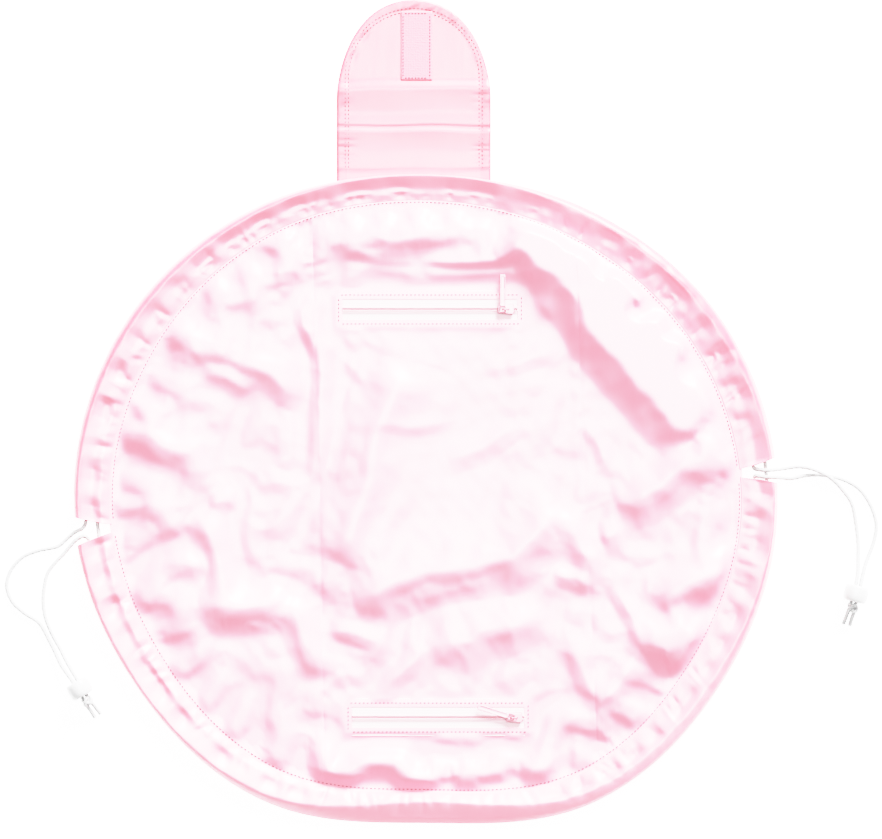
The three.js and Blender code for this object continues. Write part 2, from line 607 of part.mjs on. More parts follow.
// Drilled bead lying on its side, its bore along the cord
function makeBead(name, bead) {
  const profile = [
    [BEAD.bore, -BEAD.halfLength],
    [BEAD.shoulder, -BEAD.halfLength],
    [BEAD.waist, -BEAD.halfLength / 2],
    [BEAD.radius, 0],
    [BEAD.waist, BEAD.halfLength / 2],
    [BEAD.shoulder, BEAD.halfLength],
    [BEAD.bore, BEAD.halfLength],
    [BEAD.bore, -BEAD.halfLength],
  ].map(([radius, along]) => new THREE.Vector2(radius, along));
  const ring = new THREE.LatheGeometry(profile, 14).rotateZ(-Math.PI / 2);
  const mesh = piece(name, ring, 'bead');
  mesh.position.set(bead.x, bead.y, BEAD.radius);
  mesh.rotation.z = bead.direction * DEGREE;
  return mesh;
}

// Knot behind a bead: a lump with the two cord ends hanging from it to the surface
function makeKnot(name, bead) {
  const lump = new THREE.SphereGeometry(KNOT.radius, 12, 8).scale(1, KNOT.stretch, 1);
  const drop = LYING - BEAD.radius;
  const tails = [-1, 1].map((side) => tube([
    new THREE.Vector3(KNOT.radius / 4, side * KNOT.tailSpread, -1),
    new THREE.Vector3(KNOT.tailReach * 0.6, side * KNOT.tailSpread, drop * 0.55),
    new THREE.Vector3(KNOT.tailReach, side * (KNOT.tailSpread + 0.5), drop),
  ], 4));
  const mesh = piece(name, joined([lump, ...tails]), 'cord');
  const reach = BEAD.halfLength + 2 * CLEARANCE + KNOT.radius;
  const offset = polar(reach, bead.direction, 0);
  mesh.position.set(bead.x + offset.x, bead.y + offset.y, BEAD.radius);
  mesh.rotation.z = bead.direction * DEGREE;
  return mesh;
}

function makeZip(zip) {
  const group = new THREE.Group();
  group.add(makeTapeHalf(`${zip.name}_tape_far`, zip, 1));
  group.add(makeTapeHalf(`${zip.name}_tape_near`, zip, -1));
  group.add(makeSlider(`${zip.name}_slider`, zip));
  group.add(makePull(`${zip.name}_pull`, zip));
  return group;
}

const pouch = new THREE.Group();
pouch.add(makeShell());
pouch.add(makeCasing('casing_upper', NOTCH_RIGHT, NOTCH_LEFT, NOTCH_LEFT.angle));
pouch.add(makeCasing('casing_lower', NOTCH_LEFT, NOTCH_RIGHT, NOTCH_RIGHT.angle + 360));
pouch.add(sidePanel('lining_left', SEAM_LEFT, -CLEARANCE / 2, [90, 150], [210, 270], LEFT_GRID));
pouch.add(makeCentrePanel());
pouch.add(sidePanel('lining_right', SEAM_RIGHT, CLEARANCE / 2, [-90, -30], [30, 90], RIGHT_GRID));
pouch.add(makeFlap());
pouch.add(makeHookStrip());
pouch.add(makeZip(ZIP_UPPER));
pouch.add(makeZip(ZIP_LOWER));
pouch.add(makeCordRun('cord_left_run', NOTCH_LEFT, OUTER_LANE));
pouch.add(makeCordRun('cord_right_run', NOTCH_RIGHT, INNER_LANE));
const strands = [
  ['cord_left_strand_upper', NOTCH_LEFT, OUTER_LANE, -1, STRAND_LEFT_UPPER, BEAD_LEFT, -1, 22],
  ['cord_left_strand_lower', NOTCH_LEFT, OUTER_LANE, 1, STRAND_LEFT_LOWER, BEAD_LEFT, 1, 18],
  ['cord_right_strand_upper', NOTCH_RIGHT, INNER_LANE, 1, STRAND_RIGHT_UPPER, BEAD_RIGHT, -1, 24],
  ['cord_right_strand_lower', NOTCH_RIGHT, INNER_LANE, -1, STRAND_RIGHT_LOWER, BEAD_RIGHT, 1, 24],
];
for (const strand of strands) {
  pouch.add(makeStrand(...strand));
}
pouch.add(makeBead('bead_left', BEAD_LEFT));
pouch.add(makeBead('bead_right', BEAD_RIGHT));
pouch.add(makeKnot('knot_left', BEAD_LEFT));
pouch.add(makeKnot('knot_right', BEAD_RIGHT));

export default pouch;
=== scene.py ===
# A round drawstring pouch of pink satin, spread open on a pale surface and seen from straight above.
# Metres, +Z up, +Y towards the flap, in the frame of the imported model.
import math

import bmesh
import bpy
import mathutils
import numpy as np
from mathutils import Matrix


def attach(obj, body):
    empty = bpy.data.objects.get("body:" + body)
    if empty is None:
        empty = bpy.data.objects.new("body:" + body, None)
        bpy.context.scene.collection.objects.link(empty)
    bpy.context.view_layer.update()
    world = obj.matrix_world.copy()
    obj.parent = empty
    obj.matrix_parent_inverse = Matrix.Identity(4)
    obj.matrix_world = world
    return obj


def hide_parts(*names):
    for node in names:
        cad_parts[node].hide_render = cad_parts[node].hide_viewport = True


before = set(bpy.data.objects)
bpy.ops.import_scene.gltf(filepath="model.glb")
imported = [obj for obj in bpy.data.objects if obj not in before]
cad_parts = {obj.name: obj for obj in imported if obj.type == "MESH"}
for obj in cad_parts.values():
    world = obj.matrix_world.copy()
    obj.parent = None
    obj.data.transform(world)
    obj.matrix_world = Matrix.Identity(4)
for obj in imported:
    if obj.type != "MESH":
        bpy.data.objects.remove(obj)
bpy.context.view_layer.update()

# Camera: straight above with a long lens. The picture is 882 by 839 points, one point is 0.74 mm on the
# surface, and point (426, 500) is the middle of the disc.
PICTURE_WIDTH = 882
PICTURE_HEIGHT = 839
POINT = 0.00074
DISC_MIDDLE = (426, 500)
CAMERA_HEIGHT = 2.4
camera_data = bpy.data.cameras.new("camera")
camera_data.sensor_width = 36
camera_data.lens = camera_data.sensor_width * CAMERA_HEIGHT / (PICTURE_WIDTH * POINT)
camera = bpy.data.objects.new("camera", camera_data)
camera.location = (
    (PICTURE_WIDTH / 2 - DISC_MIDDLE[0]) * POINT,
    (DISC_MIDDLE[1] - PICTURE_HEIGHT / 2) * POINT,
    CAMERA_HEIGHT,
)
bpy.context.collection.objects.link(camera)
bpy.context.scene.camera = camera


# Floor and light: a plain white surface, a wide soft light that stands behind the flap, a small one above and
# a weak even light all round, so that slopes that face away from the flap fall into a deeper pink.
FLOOR_HALF = 4.0
FLOOR_LEVEL = -0.0002
FLOOR_GLOW = 1.8
FLOOR_PALE = (0.95, 0.95, 0.95, 1)
FLOOR_DEEP = (0.93, 0.93, 0.93, 1)
EVEN_LIGHT = 0.5
EVEN_COLOUR = (1.0, 0.985, 0.99, 1)
KEY_PLACE = (4.75, 10.75, 6.0)
KEY_SIZE = (5.5, 4.0)
KEY_POWER = 5600
TOP_PLACE = (0.08, 0.45, 2.6)
TOP_SIZE = (1.3, 1.1)
TOP_POWER = 62


class Wire:
    """An output socket of a shader. Arithmetic between wires and numbers adds Math nodes."""

    def __init__(self, socket):
        self.socket = socket

    def node(self, kind, settings=None, sockets=None, output=0):
        """A new node of any kind in the same tree: its settings first, then the values or links of its
        sockets."""
        tree = self.socket.id_data
        made = tree.nodes.new(kind)
        for name, value in (settings or {}).items():
            if name == "stops":
                for element, (place, colour) in zip(made.color_ramp.elements, value):
                    element.position = place
                    element.color = colour
            else:
                setattr(made, name, value)
        for name, value in (sockets or {}).items():
            if isinstance(value, Wire):
                tree.links.new(value.socket, made.inputs[name])
            else:
                made.inputs[name].default_value = value
        return Wire(made.outputs[output])

    def math(self, operation, first, second=0.0):
        return self.node("ShaderNodeMath", {"operation": operation}, {0: first, 1: second})

    def __add__(self, other):
        return self.math("ADD", self, other)

    def __radd__(self, other):
        return self.math("ADD", other, self)

    def __sub__(self, other):
        return self.math("SUBTRACT", self, other)

    def __rsub__(self, other):
        return self.math("SUBTRACT", other, self)

    def __mul__(self, other):
        return self.math("MULTIPLY", self, other)

    def __rmul__(self, other):
        return self.math("MULTIPLY", other, self)

    def colours(self, low, high):
        """A colour between two, with this wire as the share of the second."""
        return self.node("ShaderNodeMix", {"data_type": "RGBA"}, {0: self, 6: low, 7: high}, 2)

    def scaled(self, size):
        """These coordinates multiplied by three numbers."""
        return self.node("ShaderNodeVectorMath", {"operation": "MULTIPLY"}, {0: self, 1: size})

    def noise(self, scale, detail=2.0, roughness=0.5):
        sockets = {"Vector": self, "Scale": scale, "Detail": detail, "Roughness": roughness}
        return self.node("ShaderNodeTexNoise", None, sockets)

    def wave(self, scale, direction, distortion=0.0):
        settings = {"wave_type": "BANDS", "bands_direction": direction}
        sockets = {"Vector": self, "Scale": scale, "Distortion": distortion}
        return self.node("ShaderNodeTexWave", settings, sockets, 1)

    def bump(self, distance, strength=1.0, under=None):
        """A normal from this wire as a height, on top of another normal where one is given."""
        sockets = {"Height": self, "Distance": distance, "Strength": strength}
        if under is not None:
            sockets["Normal"] = under
        return self.node("ShaderNodeBump", None, sockets)

    def feed(self, shader, name):
        self.socket.id_data.links.new(self.socket, shader.inputs[name])


def new_finish(name, values, coordinates="Object"):
    """A material: its shader with the values that are the same all over, and a wire of coordinates on it."""
    material = bpy.data.materials.new(name)
    material.use_nodes = True
    shader = material.node_tree.nodes["Principled BSDF"]
    for socket, value in values.items():
        shader.inputs[socket].default_value = value
    place = material.node_tree.nodes.new("ShaderNodeTexCoord")
    return material, shader, Wire(place.outputs[coordinates])


WELD_DISTANCE = 2e-6


def linked(name, mesh):
    """A new object of a mesh, shaded smooth, in the scene."""
    mesh.polygons.foreach_set("use_smooth", np.ones(len(mesh.polygons), dtype=bool))
    made = bpy.data.objects.new(name, mesh)
    bpy.context.collection.objects.link(made)
    return made


def surface(name, points, round_across=False, round_along=False, keep=None, turned=False, uv=None, weld=True):
    """An object from a grid of points, rows along and columns across: four neighbours make one face. A round
    grid joins its last row or column to the first. keep marks the faces that stay, turned faces them the
    other way, and weld merges points that coincide, then turns a closed surface outwards."""
    rows, columns = points.shape[:2]
    index = np.arange(rows * columns).reshape(rows, columns)
    if round_across:
        index = np.concatenate([index, index[:, :1]], axis=1)
    if round_along:
        index = np.concatenate([index, index[:1]], axis=0)
    corner = np.arange(index.size).reshape(index.shape)
    quads = np.stack([
        corner[:-1, :-1], corner[:-1, 1:], corner[1:, 1:], corner[1:, :-1],
    ], axis=-1).reshape(-1, 4)
    if keep is not None:
        quads = quads[keep.ravel()]
    if turned:
        quads = quads[:, ::-1]
    faces = index.ravel()[quads]
    mesh = bpy.data.meshes.new(name)
    mesh.vertices.add(rows * columns)
    mesh.vertices.foreach_set("co", np.ascontiguousarray(points, dtype=np.float32).ravel())
    mesh.loops.add(faces.size)
    mesh.loops.foreach_set("vertex_index", faces.ravel().astype(np.int32))
    mesh.polygons.add(len(faces))
    mesh.polygons.foreach_set("loop_start", np.arange(0, faces.size, 4, dtype=np.int32))
    if uv is not None:
        layer = mesh.uv_layers.new(name="run")
        layer.data.foreach_set("uv", uv.astype(np.float32).reshape(-1, 2)[quads.ravel()].ravel())
    mesh.update(calc_edges=True)
    if weld:
        work = bmesh.new()
        work.from_mesh(mesh)
        bmesh.ops.remove_doubles(work, verts=work.verts, dist=WELD_DISTANCE)
        bmesh.ops.recalc_face_normals(work, faces=work.faces)
        loose = [point for point in work.verts if not point.link_faces]
        bmesh.ops.delete(work, geom=loose, context="VERTS")
        work.to_mesh(mesh)
        work.free()
    return linked(name, mesh)


floor_line = np.array([-FLOOR_HALF, FLOOR_HALF])
floor_x, floor_y = np.meshgrid(floor_line, floor_line)
floor_points = np.stack([floor_x, floor_y, np.full_like(floor_x, FLOOR_LEVEL)], axis=-1)
floor = surface("floor", floor_points, weld=False)
floor_finish, floor_shader, floor_place = new_finish(
    "pale_floor", {"Roughness": 0.9, "Emission Color": (1, 1, 1, 1), "Emission Strength": FLOOR_GLOW}
)
floor_place.noise(3.0).colours(FLOOR_DEEP, FLOOR_PALE).feed(floor_shader, "Base Color")
floor.data.materials.append(floor_finish)

world = bpy.data.worlds.new("studio")
world.use_nodes = True
even_light = world.node_tree.nodes["Background"].inputs
even_light["Color"].default_value = EVEN_COLOUR
even_light["Strength"].default_value = EVEN_LIGHT
bpy.context.scene.world = world
bpy.context.scene.view_settings.view_transform = "Standard"
# Bright tones ease into white: brightness in the scene and in the picture
SHOULDER = [
    (0.6, 0.6), (0.8, 0.765), (1.0, 0.86), (1.25, 0.92), (1.6, 0.955), (2.2, 0.98), (3.0, 0.995),
]
WHITE_LEVEL = 3.6
bpy.context.scene.view_settings.use_curve_mapping = True
shoulder_map = bpy.context.scene.view_settings.curve_mapping
shoulder_map.white_level = (WHITE_LEVEL,) * 3
shoulder = shoulder_map.curves[3]
for bright, shown in SHOULDER:
    shoulder.points.new(bright / WHITE_LEVEL, shown)
for point in shoulder.points:
    point.handle_type = "VECTOR"
shoulder_map.update()

for name, place, size, power in (
    ("key", KEY_PLACE, KEY_SIZE, KEY_POWER), ("top", TOP_PLACE, TOP_SIZE, TOP_POWER),
):
    lamp_data = bpy.data.lights.new(name, "AREA")
    lamp_data.shape = "RECTANGLE"
    lamp_data.size = size[0]
    lamp_data.size_y = size[1]
    lamp_data.energy = power
    lamp = bpy.data.objects.new(name, lamp_data)
    lamp.location = place
    lamp.rotation_euler = mathutils.Vector(place).to_track_quat("Z", "Y").to_euler()
    bpy.context.collection.objects.link(lamp)


# Drawstrings: two thin white braided cords of nylon. Each runs right round inside the casing and comes out
# of its own notch as two strands, which lie on the surface and go through a bead into a knot.
# Rim of the disc, a row for each 30 degrees from +X: outer radius, width and height of the casing, place of
# its crest as a share of the width, strength of its gathers
MM = 0.001
RIM_STEP = 30
RIM = np.array([
    [260, 27, 15, 0.86, 0.7],
    [256, 27, 15, 0.74, 1.0],
    [246, 23, 14.5, 0.78, 0.9],
    [240, 18.5, 14, 0.97, 0.7],
    [250, 22, 14.5, 0.78, 0.9],
    [258, 27, 15, 0.78, 1.0],
    [260, 27, 15, 0.86, 0.7],
    [254, 26, 15, 0.88, 0.8],
    [253, 25, 15, 0.74, 0.6],
    [239, 24, 15, 0.34, 0.35],
    [256, 25, 15, 0.6, 0.6],
    [257, 27, 15, 0.72, 0.6],
]) * [MM, MM, MM, 1, 1]
NOTCH_RIGHT = {"angle": 4.9, "inner": 0.7, "outer": 2.05}
NOTCH_LEFT = {"angle": 185.1, "inner": 0.7, "outer": 2.3}
CORD_RADIUS = 1.5 * MM
CORD_LEVEL = 2.7 * MM
CORD_SIDES = 18
CORD_STEP = 0.45 * MM
CORD_YARNS = 8
CORD_PITCH = 9 * MM
CORD_RELIEF = 0.09
CORD_TWIST = 0.0094
CORD_PALE = (0.55, 0.55, 0.548, 1)
CORD_SOILED = (0.47, 0.47, 0.47, 1)
OUTER_LANE = 0.72
INNER_LANE = 0.4
BEAD_HALF = 6.25 * MM
BEAD_RADIUS = 9 * MM
BEAD_LANE = 1.8 * MM
BEAD_LEFT = {"x": -255.3 * MM, "y": -138.8 * MM, "direction": -58.5}
BEAD_RIGHT = {"x": 317 * MM, "y": -68.8 * MM, "direction": -104.5}
STRAND_LEFT_UPPER = [
    [-253.5, -20.4, 3.2], [-260, -24, 2.6], [-266, -29, 1.7], [-272, -34, 1.7], [-287, -37.5, 1.7],
    [-298, -42, 1.7], [-307, -52, 1.7], [-310, -63.5, 1.7], [-306, -75, 1.7], [-297, -83.5, 1.7],
    [-286, -91, 1.7], [-279, -103, 2], [-274, -112.5, 3.2], [-269.5, -121.5, 5.4],
]
STRAND_LEFT_LOWER = [
    [-253, -26.6, 3.2], [-258.5, -29.4, 3], [-263.5, -34.6, 2.2], [-268.5, -40.4, 1.7], [-274, -46, 1.7],
    [-279.5, -53.5, 1.7], [-282, -63, 1.7], [-283, -74, 1.7], [-282, -84, 1.7], [-280, -91, 1.7],
    [-275.5, -101, 2], [-270, -110.5, 3.2], [-265.5, -119, 5.4],
]
STRAND_RIGHT_UPPER = [
    [246, 22.6, 4.6], [249.5, 22.2, 6.5], [253.5, 22.2, 7], [258.5, 22.6, 5.6], [264, 23.2, 3.2],
    [274, 24.6, 2.4], [283, 23.6, 4.6], [293, 19.8, 5.6], [300, 15.5, 4.4], [307.5, 8, 2],
    [314.5, -2, 1.7], [318, -18, 1.7], [319.5, -33, 2.4], [319.2, -44, 4.4], [318.6, -53, 7],
]
STRAND_RIGHT_LOWER = [
    [246, 17.6, 4.6], [249.5, 17.2, 6.5], [253.5, 17, 7], [258.5, 16.8, 5.4], [264, 16.4, 3],
    [270, 16, 1.7], [283, 18.4, 1.7], [297, 18, 1.7], [311, 14, 1.7], [320.5, 8, 1.7],
    [328.5, -3.5, 1.7], [333, -18, 1.7], [331, -31, 2.2], [325.8, -44, 4.4], [322.8, -53, 7],
]


def rim(angle, column):
    """A column of the rim table at angles in degrees: a periodic cubic through the four nearest rows."""
    place = np.mod(angle, 360) / RIM_STEP
    row = np.floor(place).astype(int)
    t = place - row
    a, b, c, d = (RIM[(row + shift) % len(RIM), column] for shift in (-1, 0, 1, 2))
    return b + 0.5 * t * (((3 * (b - c) + d - a) * t + 2 * a - 5 * b + 4 * c - d) * t + c - a)


def stitch_radius(angle):
    return rim(angle, 0) - rim(angle, 1)


def polar(radius, angle, height):
    """Points at radii and angles in degrees round the middle of the disc."""
    turn = np.radians(angle)
    return np.stack(np.broadcast_arrays(radius * np.cos(turn), radius * np.sin(turn), height), axis=-1)


def notch_half(notch, share):
    return notch["inner"] + (notch["outer"] - notch["inner"]) * share


def unit(vectors):
    return vectors / np.maximum(np.linalg.norm(vectors, axis=-1, keepdims=True), 1e-12)


def run_along(path):
    """Distance along a path from its first point to each of its points."""
    return np.concatenate([[0], np.cumsum(np.linalg.norm(np.diff(path, axis=0), axis=1))])


def points_at(path, distances):
    """Points of a path at distances along it."""
    reach = run_along(path)
    return np.stack([np.interp(distances, reach, path[:, k]) for k in range(3)], axis=-1)


def smooth_path(points, step):
    """Points one step apart on a curve through the given ones: between two neighbours it is a blend of the
    four nearest, with knots spaced by the square root of their distance."""
    given = np.asarray(points, dtype=float)
    given = np.vstack([2 * given[0] - given[1], given, 2 * given[-1] - given[-2]])
    knots = np.concatenate([[0], np.cumsum(np.sqrt(np.linalg.norm(np.diff(given, axis=0), axis=1)))])
    times = np.linspace(knots[1], knots[-2], 60 * len(given))
    first = np.clip(np.searchsorted(knots, times, side="right") - 2, 0, len(given) - 4)
    t = [knots[first + k][:, None] for k in range(4)]
    p = [given[first + k] for k in range(4)]
    now = times[:, None]

    def between(i, j, low, high):
        return (t[j] - now) / (t[j] - t[i]) * low + (now - t[i]) / (t[j] - t[i]) * high

    near = [between(k, k + 1, p[k], p[k + 1]) for k in range(3)]
    middle = [between(k, k + 2, near[k], near[k + 1]) for k in range(2)]
    fine = between(1, 2, middle[0], middle[1])
    length = run_along(fine)[-1]
    return points_at(fine, np.linspace(0, length, max(4, int(round(length / step)) + 1)))


def circle(sides):
    """Turns round a ring, in radians."""
    return np.linspace(0, 2 * np.pi, sides, endpoint=False)[None, :]


def ringed(path, beside, above, turn, size):
    """Rings round a path: at each point two vectors across it, by the cosine and the sine of the turn."""
    around = np.cos(turn)[..., None] * beside[:, None] + np.sin(turn)[..., None] * above[:, None]
    return path[:, None] + size[..., None] * around


def braid(run, turn):
    """Relief of a braid: the higher of two sets of yarns that wind round the cord in opposite senses."""
    one_way = np.cos(CORD_YARNS / 2 * turn + 2 * np.pi * run / CORD_PITCH * 2)
    other_way = np.cos(CORD_YARNS / 2 * turn - 2 * np.pi * run / CORD_PITCH * 2)
    return CORD_RELIEF * (np.maximum(one_way, other_way) - 1)


def braided(path, round_end=1.0):
    """Rings of a braided cord along a path that lies nearly level, and its map of the distance along and the
    share around. Both ends close in a quarter circle."""
    forward = unit(np.gradient(path, axis=0))
    beside = unit(np.cross([0.0, 0.0, 1.0], forward))
    above = np.cross(forward, beside)
    run = run_along(path)[:, None]
    turn = circle(CORD_SIDES)
    to_end = np.minimum(run, run[-1] - run) / (round_end * CORD_RADIUS)
    size = CORD_RADIUS * (1 + braid(run, turn)) * np.sqrt(1 - (1 - np.clip(to_end, 0, 1)) ** 2)
    share = np.linspace(0, 1, CORD_SIDES + 1)[None, :]
    return ringed(path, beside, above, turn, size), np.stack(np.broadcast_arrays(run, share), axis=-1)


cord_finish, cord_shader, cord_place = new_finish(
    "white_nylon_cord", {"Roughness": 0.6, "Sheen Weight": 0.25, "Sheen Roughness": 0.4}, "UV"
)
cord_yarn = cord_place.scaled((1, CORD_TWIST, 1)).wave(900, "DIAGONAL", 0.4)
cord_soil = cord_place.scaled((1, CORD_TWIST, 1)).noise(160, 3)
cord_soil.colours(CORD_SOILED, CORD_PALE).feed(cord_shader, "Base Color")
(0.52 + 0.2 * cord_yarn).feed(cord_shader, "Roughness")
cord_yarn.bump(0.00012, 0.5).feed(cord_shader, "Normal")


def fitted(made, finish, node=None, body="pouch"):
    """A piece with its finish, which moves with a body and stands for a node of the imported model."""
    made.data.materials.append(finish)
    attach(made, body)
    if node is not None:
        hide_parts(node)
    return made


def lane_points(angle, lane):
    """Points on a cord's lane inside the casing, at a share of the casing's width."""
    return polar(stitch_radius(angle) + lane * rim(angle, 1), angle, CORD_LEVEL)


def cord_run(name, notch, lane):
    """A drawstring inside the casing: a circle on its lane from one side of its notch round to the other."""
    half = notch_half(notch, lane)
    angle = np.linspace(notch["angle"] + half, notch["angle"] + 360 - half, 900)
    rings, uv = braided(smooth_path(lane_points(angle, lane)[::10], 2 * CORD_STEP))
    fitted(surface(name + "_braid", rings, round_across=True, uv=uv), cord_finish, name)


def cord_strand(name, notch, lane, mouth_side, route, bead, bead_side):
    """A free strand: out of the casing's mouth along its tangent, along its route, then through the bead."""
    mouth_angle = notch["angle"] + mouth_side * notch_half(notch, lane)
    mouth = lane_points(mouth_angle, lane)
    outward = polar(1.0, mouth_angle - 90 * mouth_side, 0.0)
    start = [mouth + reach * outward for reach in (0.3 * MM, 1.6 * CORD_RADIUS)]
    forward = polar(1.0, bead["direction"], 0.0)
    aside = polar(bead_side * BEAD_LANE, bead["direction"] + 90, BEAD_RADIUS)
    middle = np.array([bead["x"], bead["y"], 0.0]) + aside
    ends = [middle + reach * forward for reach in (-BEAD_HALF - MM, 0.0, BEAD_HALF + 1.6 * MM)]
    path = smooth_path([*start, *(np.array(route) * MM), *ends], CORD_STEP)
    rings, uv = braided(path)
    return fitted(surface(name + "_braid", rings, round_across=True, uv=uv), cord_finish, name), path


cord_run("cord_left_run", NOTCH_LEFT, OUTER_LANE)
cord_run("cord_right_run", NOTCH_RIGHT, INNER_LANE)
strands_left = [
    cord_strand("cord_left_strand_upper", NOTCH_LEFT, OUTER_LANE, -1, STRAND_LEFT_UPPER, BEAD_LEFT, -1),
    cord_strand("cord_left_strand_lower", NOTCH_LEFT, OUTER_LANE, 1, STRAND_LEFT_LOWER, BEAD_LEFT, 1),
]
strands_right = [
    cord_strand("cord_right_strand_upper", NOTCH_RIGHT, INNER_LANE, 1, STRAND_RIGHT_UPPER, BEAD_RIGHT, -1),
    cord_strand("cord_right_strand_lower", NOTCH_RIGHT, INNER_LANE, -1, STRAND_RIGHT_LOWER, BEAD_RIGHT, 1),
]


# Beads: one white turned bead on each drawstring, drilled so that both strands go through it. It lies on its
# side on the surface and slides along the cord.
BEAD_BORE = 4.2 * MM
BEAD_SHOULDER = 6.7 * MM
BEAD_ROUND = 0.7 * MM
BEAD_STEPS = 28
BEAD_SIDES = 64
BEAD_PALE = (0.62, 0.62, 0.617, 1)
BEAD_DEEP = (0.56, 0.56, 0.558, 1)
UPWARD = np.array([0.0, 0.0, 1.0])


def bead_section(steps):
    """Section of a bead as distance from its bore and place along it: a round belly, flat ends whose rims are
    eased, and a straight bore."""
    swing = np.linspace(-1, 1, steps) * np.pi / 2
    belly = np.stack([
        BEAD_SHOULDER + (BEAD_RADIUS - BEAD_SHOULDER) * np.cos(swing) ** 0.75,
        BEAD_HALF * np.sin(swing) * 0.97,
    ], axis=-1)
    bend = np.linspace(0, np.pi / 2, 5)
    far = np.stack([
        BEAD_BORE + BEAD_ROUND * (1 - np.sin(bend)),
        BEAD_HALF - BEAD_ROUND * (1 - np.cos(bend)),
    ], axis=-1)
    near = far[::-1] * [1, -1]
    return np.vstack([belly, far, near])


bead_finish, bead_shader, bead_place = new_finish("white_bead", {"Coat Weight": 0.25, "Coat Roughness": 0.15})
bead_grain = bead_place.noise(420, 4, 0.6)
bead_grain.colours(BEAD_DEEP, BEAD_PALE).feed(bead_shader, "Base Color")
(0.28 + 0.16 * bead_grain).feed(bead_shader, "Roughness")
bead_grain.bump(0.00012, 0.35).feed(bead_shader, "Normal")


def placed(local, bead, reach):
    """Points from the frame of a bead, X along its bore, to the disc's frame, with a shift along the bore."""
    forward = polar(1.0, bead["direction"], 0.0)
    beside = polar(1.0, bead["direction"] + 90, 0.0)
    middle = np.array([bead["x"], bead["y"], BEAD_RADIUS]) + reach * forward
    return middle + local[..., :1] * forward + local[..., 1:2] * beside + local[..., 2:] * UPWARD


def bead_piece(name, bead):
    """A bead: its section turned round the bore."""
    section = bead_section(BEAD_STEPS)[:, None, :]
    turn = circle(BEAD_SIDES)
    local = np.stack(np.broadcast_arrays(
        section[..., 1], section[..., 0] * np.cos(turn), section[..., 0] * np.sin(turn)
    ), axis=-1)
    made = surface(name + "_turned", placed(local, bead, 0.0), round_across=True, round_along=True)
    return fitted(made, bead_finish, name)


bead_left = bead_piece("bead_left", BEAD_LEFT)
bead_right = bead_piece("bead_right", BEAD_RIGHT)


# Knots: both strands of a drawstring are tied behind the bead in one tight overhand knot, and both cut ends
# hang from it to the surface.
KNOT_REACH = 10.85 * MM
KNOT_SIZE = 1.15 * MM
KNOT_CORD = 1.32 * MM
KNOT_LONG = 2.1 * KNOT_SIZE
KNOT_STEPS = 220
TAIL_DROP = 1.7 * MM - BEAD_RADIUS
# A cut end of the cord in mm: reach behind the knot, place to its side, share of the drop to the surface
TAIL = [(0.3, 1.05, 0.0548), (3.4, 2.1, 0.2), (8.0, 2.2, 0.62), (13.5, 2.5, 1.0)]
TAIL_ROUND = 0.5


def overhand_loop(steps):
    """A closed trefoil round the cord: it turns twice round while it weaves in and out three times."""
    t = np.linspace(0, 2 * np.pi, steps, endpoint=False)
    out = KNOT_SIZE * (2 + np.cos(3 * t))
    return np.stack([KNOT_LONG * np.sin(3 * t), out * np.cos(2 * t), out * np.sin(2 * t)], axis=-1)


def across_loop(path, away):
    """Two vectors across a closed path at each point: one that points away as given, one beside it."""
    forward = unit(np.roll(path, -1, axis=0) - np.roll(path, 1, axis=0))
    outward = unit(away - (away * forward).sum(axis=1, keepdims=True) * forward)
    return outward, np.cross(forward, outward)


def braided_loop(path, radius):
    """Rings of a braided cord along a closed path, and its map."""
    beside, above = across_loop(path, path - path.mean(axis=0))
    run = run_along(path)[:, None]
    turn = circle(CORD_SIDES)
    uv = np.stack(np.broadcast_arrays(
        np.vstack([run, run[-1:] + run[1:2]]), np.linspace(0, 1, CORD_SIDES + 1)[None, :]
    ), axis=-1)
    return ringed(path, beside, above, turn, radius * (1 + braid(run, turn))), uv


def join(pieces, name):
    """Several mesh objects as one."""
    work = bmesh.new()
    for piece in pieces:
        work.from_mesh(piece.data)
    mesh = bpy.data.meshes.new(name)
    work.to_mesh(mesh)
    work.free()
    for piece in pieces:
        old = piece.data
        bpy.data.objects.remove(piece)
        bpy.data.meshes.remove(old)
    return linked(name, mesh)


def knot_piece(name, bead):
    """A knot behind a bead: the tight loop and the two cut ends."""
    rings, uv = braided_loop(overhand_loop(KNOT_STEPS), KNOT_CORD)
    parts = [surface("loop", placed(rings, bead, KNOT_REACH), round_across=True, round_along=True, uv=uv)]
    for side in (-1, 1):
        tail = [[reach * MM, side * aside * MM, drop * TAIL_DROP] for reach, aside, drop in TAIL]
        rings, uv = braided(smooth_path(tail, CORD_STEP), TAIL_ROUND)
        parts.append(surface("tail", placed(rings, bead, KNOT_REACH), round_across=True, uv=uv))
    return fitted(join(parts, name + "_tied"), cord_finish, name)


knot_left = knot_piece("knot_left", BEAD_LEFT)
knot_right = knot_piece("knot_right", BEAD_RIGHT)
for strands, bead, knot in ((strands_left, bead_left, knot_left), (strands_right, bead_right, knot_right)):
    for number, (strand, path) in enumerate(strands):
        [bead, knot] if number == 0 else []


# Outer layer: a flat disc of the same satin under the lining, sewn to the casing all round.
SHELL_WALL = 1.2 * MM
SEAM_UNDER = 1.8 * MM
SHELL_SIDES = 240
# Section of the disc from its middle below, out to its edge and back above: shares of the radius and the wall
SHELL_SECTION = np.array([
    [0.0, 0.0], [0.5, 0.0], [0.96, 0.0], [0.985, 0.0], [1.0, 0.3],
    [1.0, 0.7], [0.985, 1.0], [0.96, 1.0], [0.5, 1.0], [0.0, 1.0],
])
SATIN_PALE = (0.985, 0.405, 0.5, 1)
SATIN_DEEP = (0.975, 0.36, 0.46, 1)
SATIN_SHEEN = (1.0, 0.86, 0.9, 1)
WEAVE_SCALE = 620
WARP_STREAKS = (900, 26, 200)


